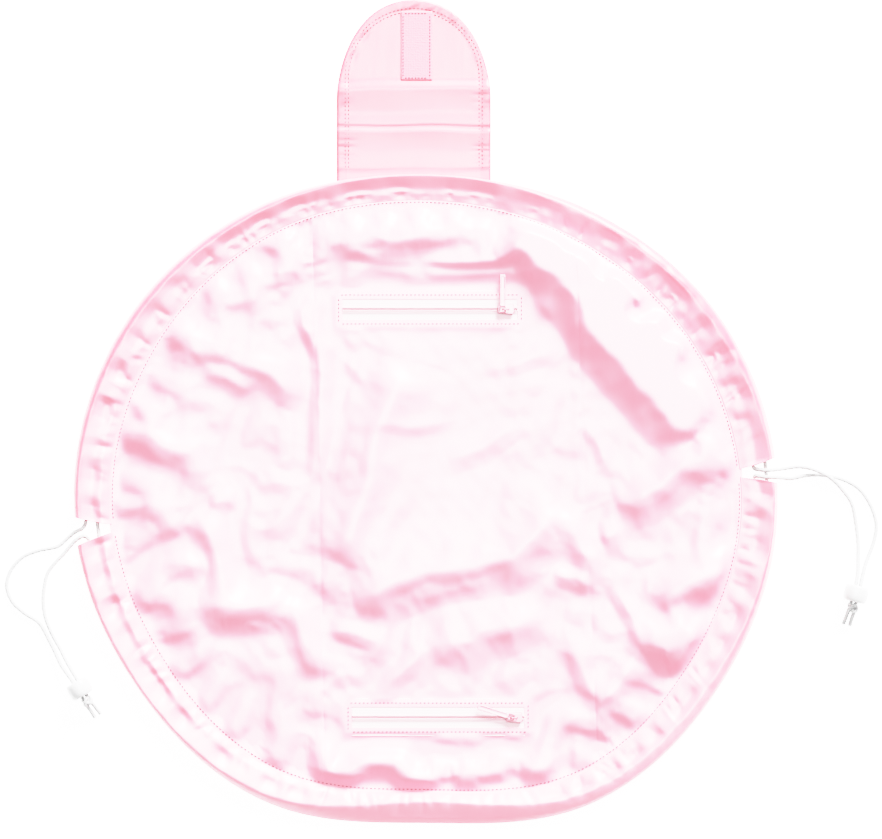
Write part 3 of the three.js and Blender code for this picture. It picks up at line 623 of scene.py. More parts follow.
def satin(name, pale, deep, second=None):
    """Woven satin: fine slanting floats, faint streaks along the warp and slow changes of its pink. Where a
    second pair of pinks is given, the piece's own map says how much of it each place has."""
    material, shader, place = new_finish(name, {
        "Sheen Weight": 0.18, "Sheen Roughness": 0.35, "Sheen Tint": SATIN_SHEEN, "Specular IOR Level": 1.0,
    })
    cloud = place.noise(14, 3)
    streak = place.scaled(WARP_STREAKS).noise(1.0, 2)
    floats = place.wave(WEAVE_SCALE, "DIAGONAL", 0.6)
    tone = 0.65 * cloud + 0.35 * streak
    pink = tone.colours(deep, pale)
    if second is not None:
        mapped = Wire(place.socket.node.outputs["UV"])
        share = mapped.node("ShaderNodeSeparateXYZ", None, {"Vector": mapped})
        pink = share.colours(pink, tone.colours(second[1], second[0]))
    pink.feed(shader, "Base Color")
    (0.3 + 0.14 * streak + 0.1 * cloud).feed(shader, "Roughness")
    (0.6 * floats + 0.8 * streak).bump(0.00006, 0.4).feed(shader, "Normal")
    return material


satin_finish = satin("pink_satin", SATIN_PALE, SATIN_DEEP)
shell_angle = np.linspace(0, 360, SHELL_SIDES, endpoint=False)[None, :]
shell_radius = SHELL_SECTION[:, :1] * (stitch_radius(shell_angle) + SEAM_UNDER)
shell_points = polar(shell_radius, shell_angle, SHELL_SECTION[:, 1:] * SHELL_WALL)
shell = fitted(surface("shell_disc", shell_points, round_across=True), satin_finish, "shell")


# Casing: a tunnel of satin all round the disc, gathered onto it with one line of stitches. Two notches, left
# and right, part it into halves, and there its ends are turned in and the cords come out.
CASING_WALL = 1.0 * MM
CASING_STEP = 1.15 * MM
CASING_ROUND = 44
CASING_RADIUS = 250 * MM
CASING_SPLIT = 75
CASING_PALE = (0.985, 0.36, 0.44, 1)
CASING_DEEP = (0.975, 0.32, 0.405, 1)
# Painted shade on the outer side of the casing: a deeper pink that its map mixes in
ROLL_SHADE_PALE = (0.985, 0.115, 0.17, 1)
ROLL_SHADE_DEEP = (0.975, 0.1, 0.155, 1)
# Corners of its section as shares of width and height: a roll outside with a groove, a flatter strip inside
# it, and at the lower end of the disc one slope from a crest beside the stitches
CASING_ROLL = np.array([
    [0.06, 0.0], [0.84, 0.0], [1.0, 0.32], [0.93, 0.74], [0.72, 1.0], [0.5, 0.5], [0.25, 0.5],
    [0.05, 0.39], [0.0, 0.33],
])
CASING_SLOPE = np.array([
    [0.06, 0.0], [0.86, 0.0], [1.0, 0.16], [0.78, 0.5], [0.34, 1.0], [0.22, 0.95], [0.1, 0.66],
    [0.03, 0.42], [0.0, 0.33],
])
CASING_CREST = 4
CASING_GROOVE = 5
CASING_STRIP = 6
CASING_CENTRE = (0.5, 0.42)
CASING_SLUMP = 0.72
# Stretches of the casing, as the angle of the middle and the spread in degrees: slope at the lower end, steep
# edge under the flap, steep strip at the left, and filled groove on the side that faces the light
SLOPED_STRETCH = (270, 26)
FLAP_STRETCH = (92, 24)
STEEP_STRETCH = (200, 38)
LIT_STRETCH = (52, 34)
PLEAT_SPACE = 9 * MM
PLEAT_LEAN = 7 * MM
CORD_COVER = 5.3 * MM
# The painted shade on the outer side, a deeper pink, fades out between these two places along Y
ROLL_SHADE_LOW = -180 * MM
ROLL_SHADE_HIGH = -30 * MM


def wander(x, y, size, seed, waves=7):
    """Smooth random relief of about -1 to 1: the mean of waves of about one length in seeded directions."""
    draw = np.random.default_rng(seed)
    heading = draw.uniform(0, 2 * np.pi, waves)
    phase = draw.uniform(0, 2 * np.pi, waves)
    length = size * draw.uniform(0.7, 1.4, waves)
    total = np.zeros(np.broadcast(x, y).shape)
    for turn, shift, span in zip(heading, phase, length):
        total = total + np.sin(2 * np.pi * (x * np.cos(turn) + y * np.sin(turn)) / span + shift)
    return total * 1.5 / waves


def ease(value, low, high):
    """Smooth step from 0 at low to 1 at high."""
    t = np.clip((value - low) / (high - low), 0, 1)
    return t * t * (3 - 2 * t)


def round_section(corners, steps):
    """Closed smooth section through its corners: a periodic cubic through the four nearest."""
    place = np.linspace(0, corners.shape[-2], steps, endpoint=False)
    row = np.floor(place).astype(int)
    t = (place - row)[:, None]
    a, b, c, d = (corners[..., (row + shift) % corners.shape[-2], :] for shift in (-1, 0, 1, 2))
    return b + 0.4 * t * (((3 * (b - c) + d - a) * t + 2 * a - 5 * b + 4 * c - d) * t + c - a) + 0.1 * (
        2 * t * t * (3 - 2 * t) * (c - b)
    )


def bell(value, middle, spread):
    """1 at the middle, and falling on both sides to about a third one spread away."""
    return np.exp(-((value - middle) / spread) ** 2)


def walled(made, thickness, offset=-1, split=None):
    """A piece of cloth with its thickness, creased where its faces meet at more than the split angle."""
    wall = made.modifiers.new("wall", "SOLIDIFY")
    wall.thickness = thickness
    wall.offset = offset
    if split is not None:
        edges = made.modifiers.new("edges", "EDGE_SPLIT")
        edges.split_angle = math.radians(split)
    return made


def casing_corners(middle, line, seed):
    """Corners of the section at angles round the rim: between roll and slope, with the crest of the rim
    table. The groove wanders, is shallow in seeded places and is filled on the side that faces the light."""
    low, flapped, steep, lit = (
        bell(middle, *stretch) for stretch in (SLOPED_STRETCH, FLAP_STRETCH, STEEP_STRETCH, LIT_STRETCH)
    )
    corners = CASING_ROLL + (CASING_SLOPE - CASING_ROLL) * low[:, None, None]
    shallow = (1 - low) * (1 - np.clip(0.55 + 0.9 * wander(line, 0.0, 0.024, seed + 2), 0, 1))
    shallow = shallow * (1 - 0.8 * flapped)
    filled = lit * (0.25 + 0.13 * wander(line, 0.0, 0.03, seed + 4))
    corners[:, CASING_CREST, 0] = rim(middle, 3)
    corners[:, CASING_CREST - 1, 0] += 0.07 * np.maximum(flapped, steep)
    corners[:, CASING_GROOVE, 0] += (1 - low) * 0.05 * wander(line, 0.0, 0.04, seed + 3)
    corners[:, CASING_GROOVE, 1] += np.maximum(0.36 * shallow, filled)
    corners[:, CASING_STRIP, 1] += 0.12 * shallow + 0.26 * steep
    return corners


def pleat_pull(run, across, span, seed):
    """How far seeded pleats draw the casing in, 0 to 1. Each starts at the stitches, leans a little, widens
    and fades out towards the outer edge."""
    draw = np.random.default_rng(seed)
    count = int(span / PLEAT_SPACE)
    pleat = (np.arange(count) + draw.uniform(0.1, 0.9, count)) / count * span
    depth = draw.uniform(0.2, 1.0, count) ** 1.6
    reach = draw.uniform(0.5, 1.25, count)
    lean = draw.normal(0, PLEAT_LEAN, count)
    wide = draw.uniform(1.6, 5.0, count) * MM
    pull = np.zeros_like(across)
    for at, deep, far, slant, size in zip(pleat, depth, reach, lean, wide):
        off = np.abs(run - at - slant * across) / (size * (1 + 1.2 * across))
        pull = np.maximum(pull, deep * np.exp(-off ** 1.5) * (1 - ease(across, 0.35 * far, far)))
    return pull


# Satin of the casing, with the painted shade of its outer side as the second pair of pinks
casing_finish = satin("pink_satin_casing", CASING_PALE, CASING_DEEP, (ROLL_SHADE_PALE, ROLL_SHADE_DEEP))


def casing_half(name, start_notch, end_notch, end_angle, seed):
    """Sections of the casing from notch to notch, drawn in by pleats and a fine ripple towards their middle,
    but never so low that a cord would show. Its map holds the share of painted shade, a deeper pink, on the
    outer side: more on the stretch that faces the light, less at the outer edge elsewhere, fading out towards
    the lower end."""
    span = np.radians(end_angle - start_notch["angle"]) * CASING_RADIUS
    share = np.linspace(0, 1, int(span / CASING_STEP))
    middle = start_notch["angle"] + (end_angle - start_notch["angle"]) * share
    width, height, crest, gather = (rim(middle, column)[:, None] for column in (1, 2, 3, 4))
    lit = bell(middle, *LIT_STRETCH)[:, None]
    section = round_section(casing_corners(middle, share * span, seed), CASING_ROUND)
    across, up = section[..., 0], section[..., 1]
    over_cords = ease(up, 0.3, 0.42) * ease(across, 0.2, 0.32) * (1 - ease(across, 0.82, 0.94))
    run = (share * span)[:, None]
    pull = pleat_pull(run, across, span, seed)
    ripple = wander(run, across * 0.03, 0.011, seed + 1) * (1 - 0.75 * np.clip(across, 0, 1))
    above = ease(up, 0.1, 0.45) * ease(across, 0.0, 0.16)
    draw_in = gather * above * (0.3 * pull + 0.05 * ripple) + 0.012 * above * ripple
    across = CASING_CENTRE[0] + (across - CASING_CENTRE[0]) * (1 - 0.55 * draw_in)
    up = CASING_CENTRE[1] + (up - CASING_CENTRE[1]) * (1 - draw_in)
    up = up - 0.16 * gather * pull * above * (1 - ease(across, 0.3, 0.9))
    start = start_notch["angle"] + notch_half(start_notch, across)
    end = end_angle - notch_half(end_notch, across)
    angle = start + (end - start) * share[:, None]
    rise = np.maximum(np.maximum(up, 0) * CASING_SLUMP * height, CORD_COVER * over_cords)
    points = polar(stitch_radius(middle)[:, None] + across * width, angle, rise)
    # Share of painted shade: outer side beyond the crest, more where the casing faces the light, less at the
    # far edge
    painted_shade = ease(across, crest - 0.14, crest + 0.1) * ease(points[..., 1], ROLL_SHADE_LOW, ROLL_SHADE_HIGH)
    painted_shade = painted_shade * (0.75 + 0.25 * lit) * (1 - 0.75 * ease(across, 0.86, 0.98) * (1 - lit))
    uv = np.stack(np.broadcast_arrays(painted_shade, run), axis=-1)
    uv = np.concatenate([uv, uv[:, :1]], axis=1)
    made = surface(name + "_gathered", points, round_across=True, turned=True, uv=uv, weld=False)
    walled(made, CASING_WALL, split=CASING_SPLIT)
    fitted(made, casing_finish, name)


casing_half("casing_upper", NOTCH_RIGHT, NOTCH_LEFT, NOTCH_LEFT["angle"], 11)
casing_half("casing_lower", NOTCH_LEFT, NOTCH_RIGHT, NOTCH_RIGHT["angle"] + 360, 23)


# Lining: three panels of satin joined by two upright seams, too full for the disc, so that it lies in folds.
# The centre panel has a window for each zip, its edge turned under and stitched.
LINING_WALL = 0.4 * MM
LINING_SPLIT = 60
LINING_EDGE = 3.6 * MM
LINING_LEVEL = 3.2 * MM
SEAM_RISE = 30 * MM
ZIP_LEVEL = 3.65 * MM
SEAM_LEFT = (-79 * MM, -0.023)
SEAM_RIGHT = (118 * MM, -0.045)
ZIP_UPPER = {"x": 3 * MM, "y": 141 * MM, "length": 131 * MM}
ZIP_LOWER = {"x": 9 * MM, "y": -160.5 * MM, "length": 129 * MM}
ZIP_WINDOW = 17 * MM
ZIP_LAP = 0.8 * MM
SEAM_LAP = 0.9 * MM
FOLD_LIMIT = 14.5 * MM
FOLD_PITCH = 0.43
FOLD_SHARE = 0.5
# Smooth places of the lining in millimetres: X and Y of the middle, half width and half height
SMOOTH_PLACES = np.array([[12, 45, 75, 80], [-148, -150, 42, 40], [145, 88, 36, 52]]) * MM
FOLD_FADE = 1.15
FOLD_ROUND = 0.15
LINING_ROLL = 6.6 * MM
ROLL_TURN = math.radians(66)
LINING_WAVE = 1.5 * MM
CRUMPLE_DEEP = 2.2 * MM
CRUMPLE_LONG = 60 * MM
CRUMPLE_ROUND = 31
CRUMPLE_RINGS = 32
CRUMPLE_BEND = 9 * MM
# Folds in points of the picture: strength, widths of the shaded side and the lit side, then the crest. The
# shaded side is on the right of the way along the crest, so below it for one that goes from left to right
FOLDS = [
    (1.4, 34, 70, [(516, 222), (545, 255), (578, 288), (600, 317), (636, 368), (665, 397), (698, 434)]),
    (0.8, 9, 14, [(524, 248), (531, 275), (541, 303), (553, 322)]),
    (1.0, 19, 26, [(418, 284), (440, 271), (460, 267), (498, 267), (514, 254)]),
    (0.6, 15, 22, [(340, 248), (374, 235), (388, 243), (415, 242), (442, 231)]),
    (0.35, 30, 20, [(335, 255), (375, 258), (415, 258)]),
    (0.6, 9, 14, [(404, 262), (414, 280), (421, 296)]),
    (1.0, 9, 30, [(299, 303), (309, 326), (316, 350), (321, 372), (319, 405), (319, 462)]),
    (0.8, 10, 20, [(271, 277), (304, 271)]),
    (0.6, 18, 20, [(248, 239), (268, 236), (288, 230)]),
    (0.5, 7, 14, [(281, 222), (287, 234), (294, 246)]),
    (0.8, 12, 20, [(170, 324), (190, 338), (201, 366)]),
    (0.8, 18, 46, [(203, 337), (222, 355), (250, 365), (268, 371), (288, 387), (306, 395)]),
    (0.45, 14, 12, [(200, 371), (226, 376), (252, 391)]),
    (0.4, 9, 22, [(235, 261), (250, 288), (259, 313)]),
    (0.7, 9, 20, [(124, 395), (138, 405), (152, 418)]),
    (0.8, 18, 34, [(114, 429), (148, 431), (166, 447), (190, 454), (206, 478)]),
    (0.6, 10, 16, [(211, 503), (236, 499)]),
    (0.5, 22, 30, [(141, 501), (164, 509), (180, 536)]),
    (1.0, 16, 18, [(163, 562), (186, 565), (207, 572)]),
    (0.95, 16, 26, [(198, 512), (212, 540), (223, 574), (231, 603)]),
    (0.3, 14, 40, [(126, 606), (160, 603), (200, 604)]),
    (1.0, 27, 40, [(198, 606), (222, 604), (252, 603), (288, 602)]),
    (0.9, 18, 26, [(281, 603), (298, 620), (314, 652), (324, 678)]),
    (0.35, 9, 20, [(246, 540), (270, 574), (280, 606)]),
    (0.4, 10, 20, [(196, 648), (207, 662)]),
    (0.95, 27, 70, [
        (352, 600), (378, 594), (404, 580), (440, 571), (475, 567), (512, 559), (531, 541),
        (548, 523), (568, 516),
    ]),
    (0.9, 14, 20, [(566, 515), (579, 540), (590, 560), (596, 584)]),
    (0.8, 12, 10, [(552, 570), (575, 575), (594, 585)]),
    (0.85, 10, 22, [(320, 631), (345, 630), (365, 637), (390, 641)]),
    (0.55, 26, 40, [(424, 646), (450, 643), (472, 640), (483, 628), (515, 624), (547, 618)]),
    (0.55, 12, 16, [(430, 646), (408, 668), (380, 692)]),
    (0.75, 34, 70, [(404, 362), (392, 400), (378, 430), (368, 480), (356, 520), (340, 562)]),
    (0.4, 8, 18, [(373, 424), (410, 425), (446, 423)]),
    (0.35, 14, 22, [(447, 463), (480, 449), (516, 424)]),
    (0.4, 12, 22, [(503, 369), (525, 360), (552, 349)]),
    (0.7, 8, 20, [(587, 426), (599, 447), (609, 468)]),
    (0.85, 25, 44, [(614, 504), (640, 497), (662, 486), (681, 468), (697, 446)]),
    (0.6, 8, 22, [(688, 370), (698, 398), (708, 421), (724, 447)]),
    (1.1, 22, 24, [(603, 285), (625, 282), (648, 283)]),
    (0.8, 28, 30, [(622, 328), (655, 343), (690, 360)]),
    (1.5, 12, 14, [(632, 302), (658, 287)]),
    (1.4, 12, 14, [(642, 331), (670, 310)]),
    (1.4, 11, 14, [(672, 351), (700, 331)]),
    (0.6, 26, 30, [(690, 452), (712, 455), (736, 470)]),
    (0.5, 14, 16, [(552, 262), (574, 254)]),
    (0.45, 22, 24, [(599, 540), (622, 534)]),
    (0.35, 9, 16, [(638, 553), (665, 551), (692, 553)]),
    (0.6, 14, 20, [(712, 556), (732, 545), (752, 538)]),
    (1.0, 25, 36, [(653, 612), (670, 595), (692, 581), (720, 575), (748, 570)]),
    (0.95, 8, 12, [(617, 588), (630, 615), (643, 650)]),
    (1.0, 38, 26, [(640, 649), (656, 636), (676, 633), (698, 641), (713, 657)]),
    (0.9, 14, 30, [(597, 702), (618, 685), (637, 660)]),
    (0.85, 12, 30, [(552, 650), (572, 655), (586, 674), (601, 706)]),
    (0.8, 10, 14, [(654, 680), (670, 692), (685, 708)]),
    (0.7, 12, 26, [(542, 746), (560, 723), (587, 710)]),
    (0.9, 13, 18, [(518, 764), (545, 767), (560, 756)]),
    (1.0, 20, 20, [
        (317, 744), (332, 768), (352, 768), (372, 760), (395, 762), (412, 774), (428, 776), (447, 767),
    ]),
    (0.6, 14, 16, [(449, 772), (480, 775), (512, 768)]),
    (0.7, 8, 14, [(138, 622), (143, 660)]),
]


def fold_relief(x, y):
    """All folds: each falls in a slack curve from its crest to the foot of its shaded side and its wider lit
    side, and its height tapers to both ends of the crest."""
    total = np.zeros(np.broadcast(x, y).shape)
    for strength, shade, lit, crest_points in FOLDS:
        line = (np.array(crest_points, dtype=float) - DISC_MIDDLE) * [POINT, -POINT]
        reach = run_along(line)
        nearest = np.full(total.shape, np.inf)
        side = np.zeros(total.shape)
        place = np.zeros(total.shape)
        for (x0, y0), (x1, y1), begun in zip(line[:-1], line[1:], reach):
            length = math.hypot(x1 - x0, y1 - y0)
            ux, uy = (x1 - x0) / length, (y1 - y0) / length
            along = np.clip((x - x0) * ux + (y - y0) * uy, 0, length)
            off = np.hypot(x - x0 - along * ux, y - y0 - along * uy)
            aside = (y - y0) * ux - (x - x0) * uy
            closer = off < nearest
            nearest = np.where(closer, off, nearest)
            side = np.where(closer, aside, side)
            place = np.where(closer, begun + along, place)
        taper = min(0.3 * reach[-1], 30 * POINT)
        tapered = ease(np.minimum(place, reach[-1] - place), -0.35 * taper, taper)
        height = strength * FOLD_PITCH * shade * POINT * tapered
        rounding = FOLD_ROUND * shade * POINT
        nearest = np.hypot(nearest, rounding) - rounding
        shaded = np.clip(1 - nearest / (FOLD_FADE * shade * POINT), 0, 1) ** 1.25
        sunny = np.clip(1 - nearest / (lit * POINT), 0, 1) ** 2
        total = total + height * np.where(side > 0, sunny, shaded)
    return total / (1 + (total / FOLD_LIMIT) ** 6) ** (1 / 6)


def beside_zip(zip_place, x, y):
    """Distance from the window of a zip."""
    out_x = np.maximum(0, np.abs(x - zip_place["x"]) - zip_place["length"] / 2)
    out_y = np.maximum(0, np.abs(y - zip_place["y"]) - ZIP_WINDOW / 2)
    return np.hypot(out_x, out_y)


def seam_x(seam, y):
    return seam[0] + seam[1] * y


def rim_inside(x, y):
    """Distance inwards from the stitch line of the casing."""
    return stitch_radius(np.degrees(np.arctan2(y, x))) - np.hypot(x, y)


def zip_distance(x, y):
    return np.minimum(beside_zip(ZIP_UPPER, x, y), beside_zip(ZIP_LOWER, x, y))


def fold_height(x, y):
    """The folds with their lines a little bent, none at the edge and beside the zips."""
    quiet = ease(zip_distance(x, y), 6 * MM, 24 * MM)
    shift_x = x + 2 * MM * wander(x, y, 0.06, 3) + 0.8 * MM * wander(x, y, 0.022, 4)
    shift_y = y + 2 * MM * wander(x, y, 0.06, 5) + 0.8 * MM * wander(x, y, 0.022, 6)
    return fold_relief(shift_x, shift_y) * quiet * ease(rim_inside(x, y), 0, 12 * MM)


def calm(x, y):
    """Share of quiet: 1 in the middle of a smooth place of the lining, 0 far from all of them."""
    rough = 1.0
    for middle_x, middle_y, wide, high in SMOOTH_PLACES:
        rough = rough * (1 - np.exp(-((x - middle_x) / wide) ** 2 - ((y - middle_y) / high) ** 2))
    return 1 - rough


def lining_start(x, y):
    """Height of the lining before it settles: a roll inside the stitch line that sinks towards the middle,
    level with the zips beside them, and a share of the folds on it."""
    near_zip = zip_distance(x, y)
    inside = rim_inside(x, y)
    roll = LINING_ROLL * (1 + 0.35 * np.cos(np.arctan2(y, x) - ROLL_TURN))
    level = LINING_EDGE + (roll - LINING_EDGE) * ease(inside, 0, 26 * MM)
    level = level - (roll - LINING_LEVEL) * ease(inside, 16 * MM, 100 * MM)
    wave = LINING_WAVE * (1 + wander(x, y, 0.085, 63)) * ease(inside, 4 * MM, 30 * MM)
    level = level + wave * (1 - 0.8 * calm(x, y))
    level = ZIP_LEVEL + (level - ZIP_LEVEL) * ease(near_zip, 3 * MM, 62 * MM)
    return level + FOLD_SHARE * fold_height(x, y)


def crumple(x, y, seed):
    """Shallow bowls that meet in creases: the least of parabolas about seeded places, one in each cell of
    a grid of radii and angles, so that most creases run out from the middle."""
    place = np.random.default_rng(seed).uniform(0, 1, (CRUMPLE_RINGS, CRUMPLE_ROUND, 3))
    bent_x = x + CRUMPLE_BEND * wander(x, y, 0.07, seed + 1)
    bent_y = y + CRUMPLE_BEND * wander(x, y, 0.07, seed + 2)
    out = np.hypot(bent_x, bent_y) / CRUMPLE_LONG
    turn = np.mod(np.arctan2(bent_y, bent_x) / (2 * np.pi), 1) * CRUMPLE_ROUND
    least = np.full(out.shape, np.inf)
    for ring in (-1, 0, 1):
        for step in (-1, 0, 1):
            row, column = np.floor(out).astype(int) + ring, np.floor(turn).astype(int) + step
            spot = place[row % CRUMPLE_RINGS, column % CRUMPLE_ROUND]
            off = (out - row - spot[..., 0]) ** 2 + (turn - column - spot[..., 1]) ** 2 + 0.4 * spot[..., 2]
            least = np.minimum(least, off)
    quiet = ease(zip_distance(x, y), 4 * MM, 24 * MM) * ease(rim_inside(x, y), 2 * MM, 22 * MM)
    return CRUMPLE_DEEP * (least - 0.45) * quiet * ease(np.hypot(x, y), 60 * MM, 120 * MM) * (1 - calm(x, y))


def seam_groove(x, y):
    """Relief of the seams: a fine groove between two low rolls that pucker along the stitches."""
    relief = np.zeros(np.broadcast(x, y).shape)
    for seam in (SEAM_LEFT, SEAM_RIGHT):
        off = np.abs(x - seam_x(seam, y))
        roll = 0.2 * MM * bell(off, 4 * MM, 3 * MM) - 0.22 * MM * bell(off, 0, MM)
        pucker = 0.3 * MM * wander(0.0, y, 0.016, 12) * np.exp(-off / (6 * MM)) * ease(off, 0, 2 * MM)
        relief = relief + roll + pucker
    return relief * ease(rim_inside(x, y), 0, SEAM_RISE)


def edge_y(x, side):
    """Y of the lining's round edge above or below an X, found by going back and forth between the two."""
    y = side * np.full_like(x, EDGE_GUESS)
    for _ in range(EDGE_ROUNDS):
        y = side * np.sqrt((stitch_radius(np.degrees(np.arctan2(y, x))) + SEAM_UNDER) ** 2 - x ** 2)
    return y


def steps_between(values, step):
    """Values in order with even steps added between each two, and the first place of each stretch."""
    pieces = [
        np.linspace(a, b, max(2, int(abs(b - a) / step) + 1))[:-1] for a, b in zip(values[:-1], values[1:])
    ]
    return np.concatenate([*pieces, values[-1:]]), np.cumsum([0] + [len(piece) for piece in pieces])


# Grid of the centre panel: columns run from the left seam past both ends of the windows to the right seam,
# its rows from the lower edge past the sides of the windows to the upper edge
LINING_STEP = 1.75 * MM
COLUMN_MARKS = [-82 * MM, -59.2 * MM, 70.8 * MM, 118 * MM]
ROW_END = 220 * MM
EDGE_GUESS = 200 * MM
EDGE_ROUNDS = 30
LEFT_COLUMNS = 92
RIGHT_COLUMNS = 68
window_rows = [
    zip_place["y"] + side * (ZIP_WINDOW / 2 - ZIP_LAP)
    for zip_place in (ZIP_LOWER, ZIP_UPPER)
    for side in (-1, 1)
]
window_ends = np.array([
    [zip_place["x"] + side * (zip_place["length"] / 2 - ZIP_LAP) for side in (-1, 1)]
    for zip_place in (ZIP_LOWER, ZIP_UPPER)
])
row_share, row_start = steps_between([-ROW_END, *window_rows, ROW_END], LINING_STEP)
column_share, column_start = steps_between(COLUMN_MARKS, LINING_STEP)
row_grid = np.repeat(row_share[:, None], len(column_share), axis=1)
window_lean = (window_ends[1] - window_ends[0]) / (ZIP_UPPER["y"] - ZIP_LOWER["y"])
guide = [
    seam_x(SEAM_LEFT, row_grid),
    window_ends[0, 0] + window_lean[0] * (row_grid - ZIP_LOWER["y"]),
    window_ends[0, 1] + window_lean[1] * (row_grid - ZIP_LOWER["y"]),
    seam_x(SEAM_RIGHT, row_grid),
]
column_place = np.interp(column_share, COLUMN_MARKS, np.arange(len(COLUMN_MARKS)))
column_piece = np.minimum(column_place.astype(int), len(COLUMN_MARKS) - 2)
column_rest = column_place - column_piece
centre_x = np.zeros_like(row_grid)
for number in range(len(COLUMN_MARKS) - 1):
    here = column_piece == number
    centre_x[:, here] = (guide[number] + (guide[number + 1] - guide[number]) * column_rest)[:, here]
centre_y = row_grid
for side, outer_row in ((-1, window_rows[0]), (1, window_rows[-1])):
    beyond = np.clip((row_grid - outer_row) / (side * ROW_END - outer_row), 0, 1)
    toward_edge = outer_row + (edge_y(centre_x, side) - outer_row) * beyond
    centre_y = np.where(beyond > 0, toward_edge, centre_y)
centre_plan = np.stack([centre_x, centre_y], axis=-1)
centre_keep = np.ones((len(row_share) - 1, len(column_share) - 1), dtype=bool)
for first in (1, 3):
    centre_keep[row_start[first]:row_start[first + 1], column_start[1]:column_start[2]] = False


def side_plan(seam_points, columns, turn):
    """Plan of a side panel: from the points on its seam straight to the points of the round edge beside
    them."""
    ends = np.degrees(np.arctan2(seam_points[[0, -1], 1], seam_points[[0, -1], 0]))
    share = (seam_points[:, 1] - seam_points[0, 1]) / (seam_points[-1, 1] - seam_points[0, 1])
    span = (ends[1] - ends[0]) % 360 if turn > 0 else -((ends[0] - ends[1]) % 360)
    angle = ends[0] + span * share
    edge = polar(stitch_radius(angle) + SEAM_UNDER, angle, 0.0)[:, :2]
    edge[[0, -1]] = seam_points[[0, -1]]
    across = np.linspace(0, 1, columns)[None, :, None]
    return seam_points[:, None] + (edge - seam_points)[:, None] * across


left_plan = side_plan(centre_plan[:, 0] + [SEAM_LAP, 0.0], LEFT_COLUMNS, -1)[:, ::-1]
right_plan = side_plan(centre_plan[:, -1] - [SEAM_LAP, 0.0], RIGHT_COLUMNS, 1)


# Cloth of the lining: ends and step of its grid, share of spare cloth, more at the gathered edge, sinking
# in each round, stiffness over a span of steps, and share of a move that goes on
CLOTH_LEFT, CLOTH_RIGHT = -249 * MM, 240.1 * MM
CLOTH_LOW, CLOTH_HIGH = -237 * MM, 228.1 * MM
CLOTH_STEP = 2.5 * MM
CLOTH_SPARE = 0.004
CLOTH_GATHER = 0.025
CLOTH_SINK = 6e-7
CLOTH_STIFF = 0.3
CLOTH_SPAN = 5
CLOTH_DRAG = 0.9
CLOTH_ROUNDS = 80
CLOTH_FLOOR = 2.2 * MM
LINING_TOP = 17.4 * MM
CLOTH_SOFT = 0.7 * MM
CLOTH_CRISP = 0.3
ROOM_WAVE = 4 * MM
# Room under the pulls, in millimetres: left, right, lower and upper end, height, run to the full height
PULL_ROOM = [(-84, 62, 132, 169, 5.8, 17), (-80, 95, -172, -148, 5.8, 24)]


def pull_ceiling(x, y):
    """Height that the cloth may reach: low where a pull swings, higher a little way off."""
    ceiling = np.full(np.shape(x), LINING_TOP)
    later = ROOM_WAVE * (1 + wander(x, y, 0.07, 81)) * (1 - bell(x, 30 * MM, 40 * MM))
    for left, right, low, high, room, run in PULL_ROOM:
        out_x = np.maximum(0, np.maximum(left * MM - x, x - right * MM))
        out_y = np.maximum(0, np.maximum(low * MM - y, y - high * MM))
        opened = ease(np.hypot(out_x, out_y) - later, 0, run * MM)
        ceiling = np.minimum(ceiling, room * MM + (LINING_TOP - room * MM) * opened)
    return ceiling


